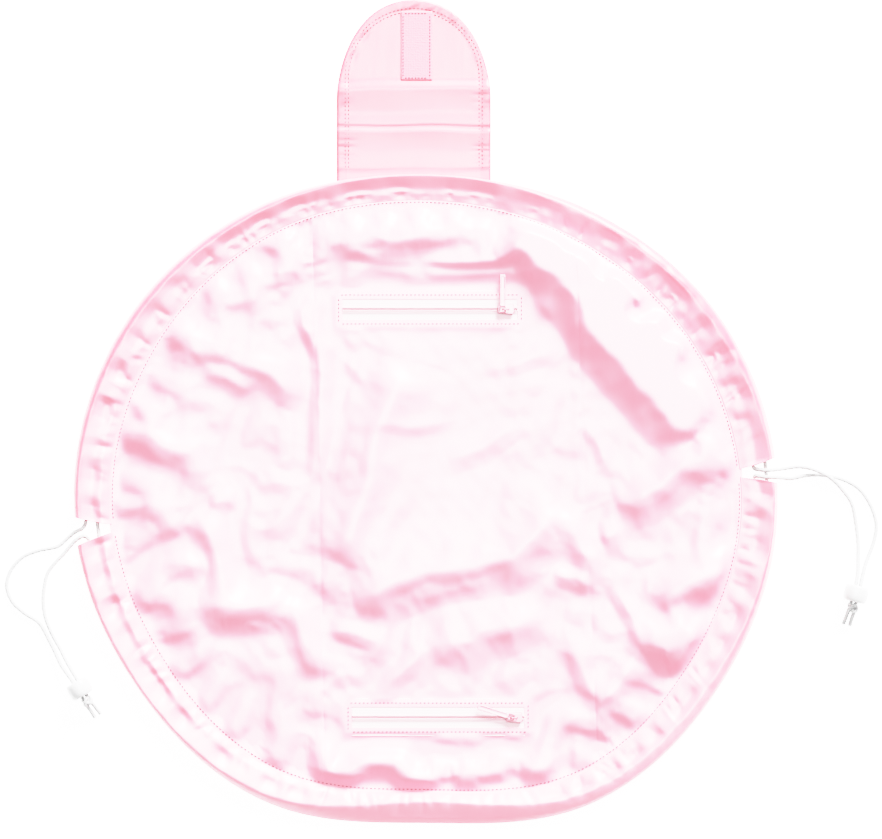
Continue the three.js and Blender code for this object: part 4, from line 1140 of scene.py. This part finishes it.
def settled(x, y):
    """Places of a grid of cloth that settles. In each round a point goes on with a share of its last move,
    sinks a little and is drawn to its distances from its neighbours, which are longer than the room they
    have. Distances over a longer span only resist being shortened, which makes the cloth stiff. The edge and
    the cloth beside the zips are held, the outer layer bears it and the pulls keep their room above it."""
    inside, near_zip = rim_inside(x, y), zip_distance(x, y)
    free = ((inside > 2 * MM) & (near_zip > 5 * MM)).astype(float)[..., None]
    gathered = CLOTH_GATHER * ease(inside, 0, 8 * MM) * (1 - ease(inside, 8 * MM, 40 * MM))
    spare = CLOTH_SPARE * (1 - calm(x, y)) + gathered
    spare = spare * ease(inside, 0, 6 * MM) * ease(near_zip, 4 * MM, 20 * MM)
    ceiling = pull_ceiling(x, y)
    unrest = 0.5 * MM * (1 - 0.8 * calm(x, y)) * (wander(x, y, 0.034, 61) + 0.4 * wander(x, y, 0.015, 62))
    place = np.stack([x, y, np.minimum(lining_start(x, y) + unrest * free[..., 0], ceiling)], axis=-1)
    start = place.copy()
    before = place.copy()
    bearing = np.minimum(start[..., 2], CLOTH_FLOOR)
    rows, columns = x.shape
    links = []
    for up, right, stiff in (
        (1, 0, 1.0), (0, 1, 1.0), (1, 1, 1.0), (1, -1, 1.0),
        (CLOTH_SPAN, 0, CLOTH_STIFF), (0, CLOTH_SPAN, CLOTH_STIFF),
        (CLOTH_SPAN - 1, CLOTH_SPAN - 1, CLOTH_STIFF), (CLOTH_SPAN - 1, 1 - CLOTH_SPAN, CLOTH_STIFF),
    ):
        one = (slice(0, rows - up), slice(max(0, -right), columns - max(0, right)))
        other = (slice(up, None), slice(max(0, right), columns + min(0, right)))
        length = np.linalg.norm(start[other] - start[one], axis=-1) * (1 + 0.5 * (spare[one] + spare[other]))
        links.append((one, other, length, stiff / 4, up + abs(right) > 2))
    for _ in range(CLOTH_ROUNDS):
        onward = (place - before) * CLOTH_DRAG
        before = place.copy()
        place += onward * free
        place[..., 2] -= CLOTH_SINK * free[..., 0]
        for one, other, length, share, only_push in links:
            apart = place[other] - place[one]
            stretch = 1 - length / np.sqrt((apart * apart).sum(axis=-1))
            if only_push:
                stretch = np.minimum(stretch, 0)
            draw = (stretch * share)[..., None] * apart
            place[one] += draw * free[one]
            place[other] -= draw * free[other]
        place[..., 2] = np.clip(place[..., 2], bearing, ceiling)
    height = place[..., 2]
    soft = height.copy()
    for axis in (0, 1, 0, 1):
        soft = (np.roll(soft, 1, axis) + 2 * soft + np.roll(soft, -1, axis)) / 4
    place[..., 2] = np.minimum(height + CLOTH_CRISP * (height - soft) * free[..., 0], ceiling)
    return place


def sampled(grid, x, y):
    """Values of a regular grid at any places: cubic through the four nearest rows and columns."""
    column, row = (x - cloth_x[0]) / CLOTH_STEP, (y - cloth_y[0]) / CLOTH_STEP
    first_column, first_row = np.floor(column).astype(int), np.floor(row).astype(int)

    def weights(t):
        return (
            0.5 * (-t + 2 * t ** 2 - t ** 3), 0.5 * (2 - 5 * t ** 2 + 3 * t ** 3),
            0.5 * (t + 4 * t ** 2 - 3 * t ** 3), 0.5 * (t ** 3 - t ** 2),
        )

    total = np.zeros(x.shape + grid.shape[2:])
    for i, by_row in enumerate(weights(row - first_row)):
        for j, by_column in enumerate(weights(column - first_column)):
            total += (by_row * by_column)[..., None] * grid[first_row + i - 1, first_column + j - 1]
    return total


cloth_x = np.arange(CLOTH_LEFT, CLOTH_RIGHT, CLOTH_STEP)
cloth_y = np.arange(CLOTH_LOW, CLOTH_HIGH, CLOTH_STEP)
cloth_grid = np.stack(np.meshgrid(cloth_x, cloth_y), axis=-1)
cloth_place = settled(cloth_grid[..., 0], cloth_grid[..., 1])
cloth_place[..., :2] -= cloth_grid


def on_cloth(x, y):
    """Points of the lining above places of its plan: the settled cloth with the rest of the folds and the
    creases, under the pulls' room."""
    points = np.stack([x, y, np.zeros_like(x)], axis=-1) + sampled(cloth_place, x, y)
    height = points[..., 2] + (1 - FOLD_SHARE) * fold_height(x, y) + crumple(x, y, 71)
    under = -np.logaddexp(-height / CLOTH_SOFT, -pull_ceiling(x, y) / CLOTH_SOFT) * CLOTH_SOFT
    points[..., 2] = np.maximum(under, CLOTH_FLOOR)
    return points


# Panels: plan, faces that stay, how far each is tucked under the centre one, flat size and area of the cut
PANEL_TUCK = 0.05 * MM
for name, plan, kept, tuck, flat, area in (
    ("lining_left", left_plan, None, PANEL_TUCK, (0.16, 0.45), 0.0525),
    ("lining_centre", centre_plan, centre_keep, 0.0, (0.215, 0.46), 0.0945),
    ("lining_right", right_plan, None, PANEL_TUCK, (0.125, 0.42), 0.036),
):
    points = on_cloth(plan[..., 0], plan[..., 1])
    points[..., 2] += seam_groove(points[..., 0], points[..., 1]) - tuck
    panel = walled(surface(name + "_satin", points, keep=kept), LINING_WALL, split=LINING_SPLIT)
    fitted(panel, satin_finish, name)


# Flap: two layers of satin turned and topstitched along the edge, sewn under the top of the rim. It closes
# over the gathered pouch with the strip of hook tape on it.
FLAP_X = -9 * MM
FLAP_RADIUS = 57 * MM
FLAP_ROUND = 313 * MM
FLAP_TIP = FLAP_ROUND + FLAP_RADIUS
FLAP_WALL = 1.4 * MM
FLAP_SEAM = 0.9 * MM
# Folds across the flap in millimetres: place of the crest, height, run towards the rim, run towards the tip
FLAP_FOLDS = np.array([
    [304, 2.6, 20, 9], [277.5, 1.6, 4, 11], [272, 2.6, 18, 4], [246, 1.4, 4, 13],
]) * MM
# Puckers at the sides: side, place and depth in millimetres
FLAP_PUCKERS = [
    (-1, 265.5, 0.35), (-1, 261, 0.6), (-1, 255, 0.5), (-1, 250, 0.25), (1, 299, 0.25), (1, 293, 0.2),
    (1, 286, 0.2), (1, 262, 0.4), (1, 258.5, 0.55), (1, 253.5, 0.55), (1, 248.5, 0.5),
]
FLAP_EDGE = 7.5 * MM
FLAP_ROWS = 2.4 * MM
FLAP_SEWN = 244 * MM
FLAP_COLUMNS = 90
FLAP_STEPS = 220
OUTER_PALE = (0.985, 0.212, 0.27, 1)
OUTER_DEEP = (0.975, 0.192, 0.25, 1)
EDGE_PALE = (0.98, 0.185, 0.242, 1)
EDGE_DEEP = (0.97, 0.165, 0.222, 1)


def flap_half(y):
    """Half the width of the flap: straight sides, then a round end."""
    return np.sqrt(np.maximum(0, FLAP_RADIUS ** 2 - np.maximum(0, y - FLAP_ROUND) ** 2))


def flap_inset(x, y):
    """Distance inwards from the flap's edge: from its side, or past the straight stretch from its end."""
    from_side = flap_half(y) - np.abs(x - FLAP_X)
    from_end = FLAP_RADIUS - np.hypot(x - FLAP_X, y - FLAP_ROUND)
    return np.where(y > FLAP_ROUND, from_end, from_side)


def flap_height(across, y, toward_rim):
    """Height of the flap: its wall, a roll inside the edge that puckers along the stitches, and creases."""
    half = flap_half(y)
    x = FLAP_X + across * half
    from_edge = flap_inset(x, y)
    roll = 0.5 * MM * (1 - ease(from_edge, 2 * MM, FLAP_EDGE + 2 * MM))
    roll = roll - 0.14 * MM * bell(from_edge, FLAP_EDGE, 1.6 * MM)
    pucker = 0.35 * MM * wander(x, y, 0.011, 41) * bell(from_edge, 5 * MM, 5 * MM)
    crossing = np.zeros(np.broadcast(x, y).shape)
    bent = y + 2.2 * MM * wander(x, y, 0.07, 42)
    for place, height, to_rim, to_tip in FLAP_FOLDS:
        off = bent - place
        crossing = crossing + height * np.where(
            off < 0, np.clip(1 + off / to_rim, 0, 1) ** 1.2, 1 - ease(off, 0, to_tip)
        )
    from_side = (1 - np.abs(across)) * half
    for side, place, depth in FLAP_PUCKERS:
        near = np.where(np.sign(across) == side, 1 - ease(from_side, 8 * MM, 18 * MM), 0)
        crossing = crossing - depth * MM * near * bell(bent, place * MM, 1.2 * MM)
    soft = 0.25 * MM * wander(x, y, 0.045, 43)
    edge = -0.45 * MM * (1 - ease(from_edge, 0, 1.4 * MM))
    return FLAP_WALL + (roll + pucker + crossing + soft) * (1 - toward_rim) + edge


def face_values(made, name):
    """A vector of each face of an object, such as its middle or its normal."""
    flat = np.empty(len(made.data.polygons) * 3, dtype=np.float32)
    made.data.polygons.foreach_get(name, flat)
    return flat.reshape(-1, 3).astype(float)


flap_base = rim(90.0, 0)
flap_across = np.linspace(-1, 1, FLAP_COLUMNS)[None, :]
flap_along = np.linspace(0, 1, FLAP_STEPS)[:, None]
flap_y = flap_base + (FLAP_TIP - flap_base) * np.sin(flap_along * np.pi / 2)
flap_x = FLAP_X + flap_across * flap_half(flap_y)
flap_toward = (1 - flap_along) ** 3
flap_angle = np.degrees(np.arctan2(flap_base, flap_x))
flap_rim = rim(flap_angle, 0) * np.sin(np.radians(flap_angle)) - FLAP_SEAM
flap_y = flap_y + (flap_rim - flap_y) * flap_toward
flap_points = np.stack(np.broadcast_arrays(
    flap_x, flap_y, flap_height(flap_across, flap_y, flap_toward)
), axis=-1)
flap = walled(surface("flap_satin", flap_points), FLAP_WALL * 0.55, offset=1)
fitted(flap, satin("pink_satin_outer", OUTER_PALE, OUTER_DEEP), "flap")
flap.data.materials.append(satin("pink_satin_edge", EDGE_PALE, EDGE_DEEP))
flap_middles = face_values(flap, "center")
flap_edging = flap_inset(flap_middles[:, 0], flap_middles[:, 1]) < FLAP_EDGE
flap.data.polygons.foreach_set("material_index", flap_edging.astype(np.int32))


# Hook tape: a strip of woven tape set with tiny hooks, sewn on the inside of the flap along its four edges.
HOOK_MIDDLE = np.array([-7, 336]) * MM
HOOK_HALF = np.array([11.5, 25.5]) * MM
HOOK_ROUND = 1.0 * MM
HOOK_BOTTOM = 1.6 * MM
HOOK_WALL = 0.75 * MM
HOOK_PALE = (0.95, 0.3, 0.37, 1)
HOOK_DEEP = (0.93, 0.255, 0.32, 1)


def slab(name, half, corner, low, high, rows=40, columns=40):
    """A thin rounded plate: squares of points drawn in and down towards the edge, above and below."""
    along = np.linspace(-1, 1, rows)[:, None]
    across = np.linspace(-1, 1, columns)[None, :]
    x = half[0] * np.sign(across) * (1 - (1 - np.abs(across)) ** 1.4) + 0 * along
    y = half[1] * np.sign(along) * (1 - (1 - np.abs(along)) ** 1.4) + 0 * across
    edge = np.minimum(half[0] - np.abs(x), half[1] - np.abs(y))
    fall = np.sqrt(1 - (1 - np.clip(edge / corner, 0, 1)) ** 2)
    thick = (high - low) / 2
    top = np.stack([x, y, (low + high) / 2 + thick * fall], axis=-1)
    under = np.stack([x, y, (low + high) / 2 - thick * fall], axis=-1)
    return surface(name, np.concatenate([top, under[::-1]], axis=0), round_along=True)


def moved(made, x, y, z=0.0, turn=0.0):
    """The mesh of an object turned about Z and moved, with the object left at the origin."""
    flat = np.empty(len(made.data.vertices) * 3, dtype=np.float32)
    made.data.vertices.foreach_get("co", flat)
    points = flat.reshape(-1, 3).astype(float)
    cos, sin = math.cos(turn), math.sin(turn)
    points = np.stack([
        points[:, 0] * cos - points[:, 1] * sin + x,
        points[:, 0] * sin + points[:, 1] * cos + y,
        points[:, 2] + z,
    ], axis=-1)
    made.data.vertices.foreach_set("co", points.astype(np.float32).ravel())
    made.data.update()
    return made


hook_strip = slab("hook_strip_tape", HOOK_HALF, HOOK_ROUND, HOOK_BOTTOM, HOOK_BOTTOM + HOOK_WALL)
moved(hook_strip, *HOOK_MIDDLE)
hook_finish, hook_shader, hook_place = new_finish("pink_hook_tape", {"Roughness": 0.85, "Sheen Weight": 0.2})
hook_dots = hook_place.node("ShaderNodeTexVoronoi", None, {
    "Vector": hook_place, "Scale": 780.0, "Randomness": 0.35,
})
hook_rows = hook_place.wave(230, "Y")
(0.6 * hook_dots + 0.3 * hook_rows).colours(HOOK_PALE, HOOK_DEEP).feed(hook_shader, "Base Color")
(1 - hook_dots).bump(0.0004, 0.7).feed(hook_shader, "Normal")
fitted(hook_strip, hook_finish, "hook_strip")


# Zips: two short coil zips in the windows of the lining. Each has two strips of woven tape, a row of coil
# sewn on the inner edge of each, a cast slider with a bridge, and a flat pull on the bridge.
TAPE_HALF = 14 * MM
TAPE_INNER = 0.55 * MM
TAPE_ROUND = 0.25 * MM
TAPE_LOW = 2.6 * MM
TAPE_HIGH = 3.2 * MM
TAPE_PALE = (0.9, 0.68, 0.73, 1)
TAPE_DEEP = (0.86, 0.6, 0.65, 1)
COIL_PALE = (0.9, 0.64, 0.69, 1)
COIL_DEEP = (0.84, 0.55, 0.6, 1)
COIL_STEPS = 14
COIL_SIDES = 6
COIL_NEAR = 0.1 * MM
COIL_FAR = 2.1 * MM
COIL_LOW = 3.1 * MM
COIL_HIGH = 4.75 * MM
COIL_WIRE = 0.27 * MM
COIL_PITCH = 1.3 * MM
ZIP_END_GAP = 0.3 * MM
SLIDER_UPPER_X = 59 * MM
SLIDER_LOWER_X = 65 * MM
# Slider: half length of its plates, their half width behind and how much wider they are in front, rounding of
# their ends, lower and upper face of each, then its flanges, its post and its bridge
SLIDER_HALF = 6 * MM
SLIDER_BACK = 3.05 * MM
SLIDER_FLARE = 0.7 * MM
SLIDER_ROUND = 1.2 * MM
PLATE_UPPER = (5.1 * MM, 5.62 * MM)
PLATE_CROWN = 0.48 * MM
PLATE_LOWER = (1.5 * MM, 2.3 * MM)
FLANGE_HALF = 5.4 * MM
FLANGE_THICK = 0.42 * MM
FLANGE_BACK = 2.66 * MM
FLANGE_FLARE = 0.62 * MM
FLANGE_LEVEL = (4.2 * MM, 5.5 * MM)
FLANGE_DEEP = 0.65 * MM
FLANGE_ROUND = 0.8 * MM
POST_ENDS = (4.0 * MM, 5.9 * MM)
POST_THICK = 0.09 * MM
POST_LEVEL = (1.6 * MM, 5.4 * MM)
BRIDGE_HALF = 2.4 * MM
BRIDGE_FOOT = 5.3 * MM
BRIDGE_RISE = 2.8 * MM
BRIDGE_SECTION = (0.55 * MM, 0.34 * MM)
# Pull: level, length, half width and thickness, rounding of its end, depth of its panel, then its eye. A face
# of the metal counts as flat where its normal points nearly up or down
PULL_LEVEL = 6.5 * MM
PULL_REACH = 28 * MM
PULL_HALF = 2.1 * MM
PULL_THICK = 0.8 * MM
PULL_ROUND = 1.1 * MM
PULL_PANEL = 0.22 * MM
EYE_LONG = 4.4 * MM
EYE_HALF = 2.0 * MM
EYE_WIRE = 0.42 * MM
METAL_FLAT = 0.85
METAL_PALE = (0.86, 0.45, 0.52, 1)
METAL_DEEP = (0.8, 0.36, 0.43, 1)
# Painted shade on the sides and edges of the metal: a deeper pink
METAL_SHADE_PALE = (0.5, 0.11, 0.17, 1)
METAL_SHADE_DEEP = (0.42, 0.08, 0.13, 1)

tape_finish, tape_shader, tape_place = new_finish("pale_zip_tape", {"Roughness": 0.8, "Sheen Weight": 0.1})
tape_twill = tape_place.wave(340, "DIAGONAL", 0.3)
tape_rib = tape_place.wave(260, "Y")
(0.5 * tape_twill + 0.5 * tape_rib).colours(TAPE_DEEP, TAPE_PALE).feed(tape_shader, "Base Color")
(tape_twill + tape_rib).bump(0.00015, 0.5).feed(tape_shader, "Normal")
coil_finish, coil_shader, coil_place = new_finish("pale_zip_coil", {"Coat Weight": 0.1})
coil_tone = coil_place.noise(700, 2)
coil_tone.colours(COIL_DEEP, COIL_PALE).feed(coil_shader, "Base Color")
(0.3 + 0.2 * coil_tone).feed(coil_shader, "Roughness")


def enamel(name, deep, pale):
    """Enamelled cast metal: faint grain of the casting in its pink, its gloss and its relief."""
    material, shader, place = new_finish(name, {"Coat Weight": 0.4, "Coat Roughness": 0.12, "Metallic": 0.0})
    cast = place.noise(900, 3)
    cast.colours(deep, pale).feed(shader, "Base Color")
    (0.25 + 0.2 * cast).feed(shader, "Roughness")
    cast.bump(0.00005, 0.4).feed(shader, "Normal")
    return material


metal_finish = enamel("pink_enamelled_metal", METAL_DEEP, METAL_PALE)
metal_shade_finish = enamel("pink_enamelled_metal_painted_shade", METAL_SHADE_DEEP, METAL_SHADE_PALE)


def enamelled(made, node, body):
    """A metal piece with pale enamel on its flat faces and painted shade, a deeper pink, on its sides and
    edges.
    """
    fitted(made, metal_finish, node, body)
    made.data.materials.append(metal_shade_finish)
    sides = np.abs(face_values(made, "normal")[:, 2]) < METAL_FLAT
    made.data.polygons.foreach_set("material_index", sides.astype(np.int32))


def shut_ends(count):
    """A column of ones with a nought at both ends, which draws the end rings of a bar to a point."""
    shut = np.ones((count, 1))
    shut[[0, -1]] = 0
    return shut


def rounded(wave, power):
    """A cosine or sine made squarer: its size to a power under one, its sign kept."""
    return np.sign(wave) * np.abs(wave) ** power


def coil_row(zip_place, side):
    """A flat helix of wire along the inner edge of one tape: an oval in section, one turn each pitch."""
    length = zip_place["length"] - 4 * ZIP_END_GAP
    turns = int(length / COIL_PITCH)
    t = np.linspace(0, 1, turns * COIL_STEPS + 1)
    turn = 2 * np.pi * turns * t + (0 if side > 0 else np.pi)
    aside = (COIL_NEAR + COIL_FAR) / 2 - (COIL_FAR - COIL_NEAR - 2 * COIL_WIRE) / 2 * np.cos(turn)
    path = np.stack([
        zip_place["x"] + length * (t - 0.5),
        zip_place["y"] + side * aside,
        (COIL_LOW + COIL_HIGH) / 2 + (COIL_HIGH - COIL_LOW - 2 * COIL_WIRE) / 2 * np.sin(turn),
    ], axis=-1)
    forward = unit(np.gradient(path, axis=0))
    beside = unit(np.cross([1.0, 0.0, 0.0], forward))
    above = np.cross(forward, beside)
    return ringed(path, beside, above, circle(COIL_SIDES), COIL_WIRE * shut_ends(len(path)))


def rounded_bar(x, half_width, low, high, power=5.0, sides=28):
    """A bar along X: at each X a rounded rectangle of its own half width between its own two heights, closed
    at both ends."""
    turn = circle(sides)
    x, half_width, low, high = (np.broadcast_to(v, len(x))[:, None] for v in (x, half_width, low, high))
    middle, thick = (low + high) / 2, (high - low) / 2
    return np.stack(np.broadcast_arrays(
        x,
        shut_ends(len(x)) * half_width * rounded(np.cos(turn), 2 / power),
        middle + shut_ends(len(x)) * thick * rounded(np.sin(turn), 2 / power),
    ), axis=-1)


def eased_ends(low, high, rounding, inner=16):
    """Places along a bar, close together at its two ends, and the share of its full section at each."""
    swing = np.linspace(0, np.pi / 2, 5)
    head = low + rounding * (1 - np.cos(swing))
    tail = high - rounding * (1 - np.cos(swing[::-1]))
    x = np.concatenate([[low], head, np.linspace(head[-1], tail[0], inner)[1:-1], tail, [high]])
    to_end = np.minimum(x - low, high - x) / rounding
    return x, np.sqrt(1 - (1 - np.clip(to_end, 0, 1)) ** 2)


def flared(along, back, flare):
    """Half width of a slider along it: narrow behind, wider in front."""
    return back + flare * ease(along, -4 * MM, 4.5 * MM)


def slider_bridge():
    """Rings of the bridge: a flat oval carried along a squarish arch over the upper plate."""
    arch = np.linspace(0, np.pi, 40)
    path = np.stack([
        -BRIDGE_HALF * rounded(np.cos(arch), 0.35),
        np.zeros_like(arch),
        BRIDGE_FOOT + BRIDGE_RISE * np.sin(arch) ** 0.45,
    ], axis=-1)
    path = points_at(path, np.linspace(0, run_along(path)[-1], len(arch)))
    forward = unit(np.gradient(path, axis=0))
    beside = np.broadcast_to([0.0, 1.0, 0.0], forward.shape)
    wide, high = BRIDGE_SECTION
    return ringed(path, wide * beside, high * np.cross(forward, beside), circle(14), shut_ends(len(path)))


def slider_piece(name, x, y, body):
    """A zip slider: a shield-shaped upper plate with a rim, a lower plate, two flanges, a thin post between
    the halves of the coil, and an arched bridge over the plate."""
    along, full = eased_ends(-SLIDER_HALF, SLIDER_HALF, SLIDER_ROUND, 26)
    shield = flared(along, SLIDER_BACK, SLIDER_FLARE) * (0.72 + 0.28 * full)
    parts = [
        rounded_bar(along, shield, PLATE_UPPER[0], PLATE_UPPER[1] + PLATE_CROWN * full),
        rounded_bar(along, shield, *PLATE_LOWER),
    ]
    along, full = eased_ends(-FLANGE_HALF, FLANGE_HALF, FLANGE_ROUND)
    for side in (-1, 1):
        flange = rounded_bar(along, FLANGE_THICK, FLANGE_LEVEL[0] - FLANGE_DEEP * full, FLANGE_LEVEL[1])
        flange[..., 1] += side * flared(flange[..., 0], FLANGE_BACK, FLANGE_FLARE)
        parts.append(flange)
    along, _ = eased_ends(*POST_ENDS, 0.3 * MM, 6)
    parts += [rounded_bar(along, POST_THICK, *POST_LEVEL), slider_bridge()]
    made = join([surface("cast", part, round_across=True) for part in parts], name + "_cast")
    enamelled(moved(made, x, y), name, body)


def pull_eye():
    """Rings of the eye: a flat oval carried round a squarish loop at the near end of the pull."""
    turn = np.linspace(0, 2 * np.pi, 64, endpoint=False)
    loop = np.stack([
        EYE_LONG / 2 + EYE_LONG / 2 * rounded(np.cos(turn), 2 / 7),
        EYE_HALF * rounded(np.sin(turn), 2 / 7),
        np.full_like(turn, PULL_THICK / 2),
    ], axis=-1)
    away, _ = across_loop(loop, unit(loop - [EYE_LONG / 2, 0.0, PULL_THICK / 2]))
    upward = np.broadcast_to(UPWARD, loop.shape)
    return ringed(loop, EYE_WIRE * away, PULL_THICK / 2 * upward, circle(10), np.ones((len(loop), 1)))


def pull_tongue():
    """Rings of the tongue: a bar that widens a little to its round end, a shallow panel sunk in its top."""
    along, full = eased_ends(EYE_LONG - 0.2 * MM, PULL_REACH, PULL_ROUND, 40)
    width = PULL_HALF * (0.9 + 0.1 * ease(along, EYE_LONG, PULL_REACH)) * (0.6 + 0.4 * full)
    thick = PULL_THICK * 0.5 * full ** 0.5
    tongue = rounded_bar(along, width, PULL_THICK * 0.5 - thick, PULL_THICK * 0.5 + thick, 6.0, 36)
    begun = ease(along, EYE_LONG + 1.2 * MM, EYE_LONG + 2 * MM)
    ended = ease(along, PULL_REACH - 2 * MM, PULL_REACH - 1.2 * MM)
    inside = 1 - ease(np.abs(tongue[..., 1]), 1.15 * MM, 1.5 * MM)
    sunk = PULL_PANEL * (begun * (1 - ended))[:, None] * inside
    tongue[..., 2] -= np.where(tongue[..., 2] > PULL_THICK * 0.6, sunk, 0)
    return tongue


def pull_piece(name, x, y, direction, body):
    """A pull: a flat tongue with a rim round a shallow panel, and an eye of bent strip at the near end."""
    eye = surface("eye", pull_eye(), round_across=True, round_along=True)
    tongue = surface("tongue", pull_tongue(), round_across=True)
    made = join([eye, tongue], name + "_pressed")
    enamelled(moved(made, x, y, PULL_LEVEL, math.radians(direction)), name, body)


def zip_tapes(name, zip_place):
    """Both tapes of a zip, each with its row of coil on the inner edge."""
    half = (zip_place["length"] / 2 - ZIP_END_GAP, (TAPE_HALF - TAPE_INNER) / 2)
    for part, side in (("far", 1), ("near", -1)):
        tape = slab(f"{name}_tape_{part}_woven", half, TAPE_ROUND, TAPE_LOW, TAPE_HIGH, 30, 60)
        moved(tape, zip_place["x"], zip_place["y"] + side * (TAPE_HALF + TAPE_INNER) / 2)
        fitted(tape, tape_finish, f"{name}_tape_{part}")
        2 * half[0]
        2 * half[1]
        coil = surface(f"{name}_coil_{part}", coil_row(zip_place, side), round_across=True)
        fitted(coil, coil_finish)


zip_tapes("zip_upper", ZIP_UPPER)
zip_tapes("zip_lower", ZIP_LOWER)
slider_piece("zip_upper_slider", SLIDER_UPPER_X, ZIP_UPPER["y"], "upper_slider")
slider_piece("zip_lower_slider", SLIDER_LOWER_X, ZIP_LOWER["y"], "lower_slider")
pull_piece("zip_upper_pull", SLIDER_UPPER_X - 2.4 * MM, ZIP_UPPER["y"] - 2.2 * MM, 90, "upper_pull")
pull_piece("zip_lower_pull", SLIDER_LOWER_X, ZIP_LOWER["y"], 163, "lower_pull")


# Stitching: thread along the casing, round both zip windows, along the edge of the flap and round the hook
# tape. Each stitch is a short length of thread that dips into the cloth at both ends. Its dark rose is
# painted shade of the needle holes and puckers; the thread itself is pale.
STITCH_PITCH = 3.0 * MM
STITCH_SHARE = 0.68
STITCH_STEPS = 7
STITCH_SIDES = 6
RIM_INSET = 1.3 * MM
WINDOW_OUT = (2.0 * MM, 2.2 * MM)
HOOK_INSET = 1.6 * MM
HOOK_PITCH = 2.4 * MM
THREAD_RADIUS = 0.34 * MM
# Painted shade: the thread is coloured a dark rose for the shade of its needle holes and puckers
THREAD_SHADE_PALE = (0.36, 0.12, 0.16, 1)
THREAD_SHADE_DEEP = (0.26, 0.08, 0.11, 1)

shaded_thread_finish, thread_shader, thread_place = new_finish("thread_painted_shade", {
    "Roughness": 0.55, "Sheen Weight": 0.2,
})
thread_twist = thread_place.wave(1500, "DIAGONAL")
thread_twist.colours(THREAD_SHADE_DEEP, THREAD_SHADE_PALE).feed(thread_shader, "Base Color")
thread_twist.bump(0.0001, 0.5).feed(thread_shader, "Normal")


def stitches(name, lines, pitch=STITCH_PITCH):
    """Stitches along lines on the cloth: each is a thin spindle on a low arch, from one hole to the next."""
    spines = []
    for line in lines:
        first = np.arange(0.5 * pitch, run_along(line)[-1] - pitch, pitch)
        within = pitch * STITCH_SHARE * np.linspace(0, 1, STITCH_STEPS)
        spines.append(points_at(line, first[:, None] + within))
    spine = np.concatenate(spines)
    swing = np.linspace(0, np.pi, STITCH_STEPS)
    spine[..., 2] += THREAD_RADIUS * (1.1 * np.sin(swing) - 0.4)
    forward = np.repeat(unit(spine[:, -1] - spine[:, 0]), STITCH_STEPS, axis=0)
    beside = unit(np.cross(UPWARD, forward))
    size = np.tile(THREAD_RADIUS * np.sqrt(np.sin(swing)), len(spine))[:, None]
    points = ringed(spine.reshape(-1, 3), beside, np.cross(forward, beside), circle(STITCH_SIDES), size)
    keep = np.ones((len(points) - 1, STITCH_SIDES), dtype=bool)
    keep[STITCH_STEPS - 1::STITCH_STEPS] = False
    fitted(surface(name, points, round_across=True, keep=keep), shaded_thread_finish)


rim_lines = []
for start, end in (
    (NOTCH_RIGHT["angle"] + 1, NOTCH_LEFT["angle"] - 1),
    (NOTCH_LEFT["angle"] + 1, NOTCH_RIGHT["angle"] + 359),
):
    angle = np.linspace(start, end, 1600)
    spot = polar(stitch_radius(angle) - RIM_INSET, angle, 0.0)
    rim_lines.append(on_cloth(spot[:, 0], spot[:, 1]))
stitches("stitches_rim", rim_lines)
window_lines = []
for zip_place in (ZIP_UPPER, ZIP_LOWER):
    half = np.array([zip_place["length"] / 2, ZIP_WINDOW / 2]) + WINDOW_OUT
    corners = np.array([[-1, 1], [1, 1], [1, -1], [-1, -1], [-1, 1]]) * half
    corners = corners + [zip_place["x"], zip_place["y"]]
    for start, end in zip(corners[:-1], corners[1:]):
        spot = np.linspace(start, end, 200)
        window_lines.append(on_cloth(spot[:, 0], spot[:, 1]))
stitches("stitches_windows", window_lines)


def flap_line(inset):
    """A line on the flap at an inset from its edge: up one side, round the tip and down the other side."""
    swing = np.linspace(-np.pi / 2, np.pi / 2, 400)
    side = np.linspace(FLAP_SEWN, FLAP_ROUND, 200)[:-1]
    y = np.concatenate([side, FLAP_ROUND + (FLAP_RADIUS - inset) * np.cos(swing), side[::-1]])
    off = np.concatenate([np.full(len(side), -1.0), np.sin(swing), np.full(len(side), 1.0)])
    off = off * (FLAP_RADIUS - inset)
    back = np.arcsin(np.clip((y - flap_base) / (FLAP_TIP - flap_base), 0, 1)) * 2 / np.pi
    return np.stack([FLAP_X + off, y, flap_height(off / flap_half(y), y, (1 - back) ** 3)], axis=-1)


stitches("stitches_flap", [flap_line(FLAP_EDGE - FLAP_ROWS / 2), flap_line(FLAP_EDGE + FLAP_ROWS / 2)])
hook_lines = []
for side in (-1, 1):
    for start, end in (((-1, side), (1, side)), ((side, -1), (side, 1))):
        spot = HOOK_MIDDLE + np.linspace(start, end, 60) * (HOOK_HALF - HOOK_INSET)
        hook_lines.append(np.column_stack([spot, np.full(len(spot), HOOK_BOTTOM + HOOK_WALL)]))
stitches("stitches_hook_tape", hook_lines, HOOK_PITCH)
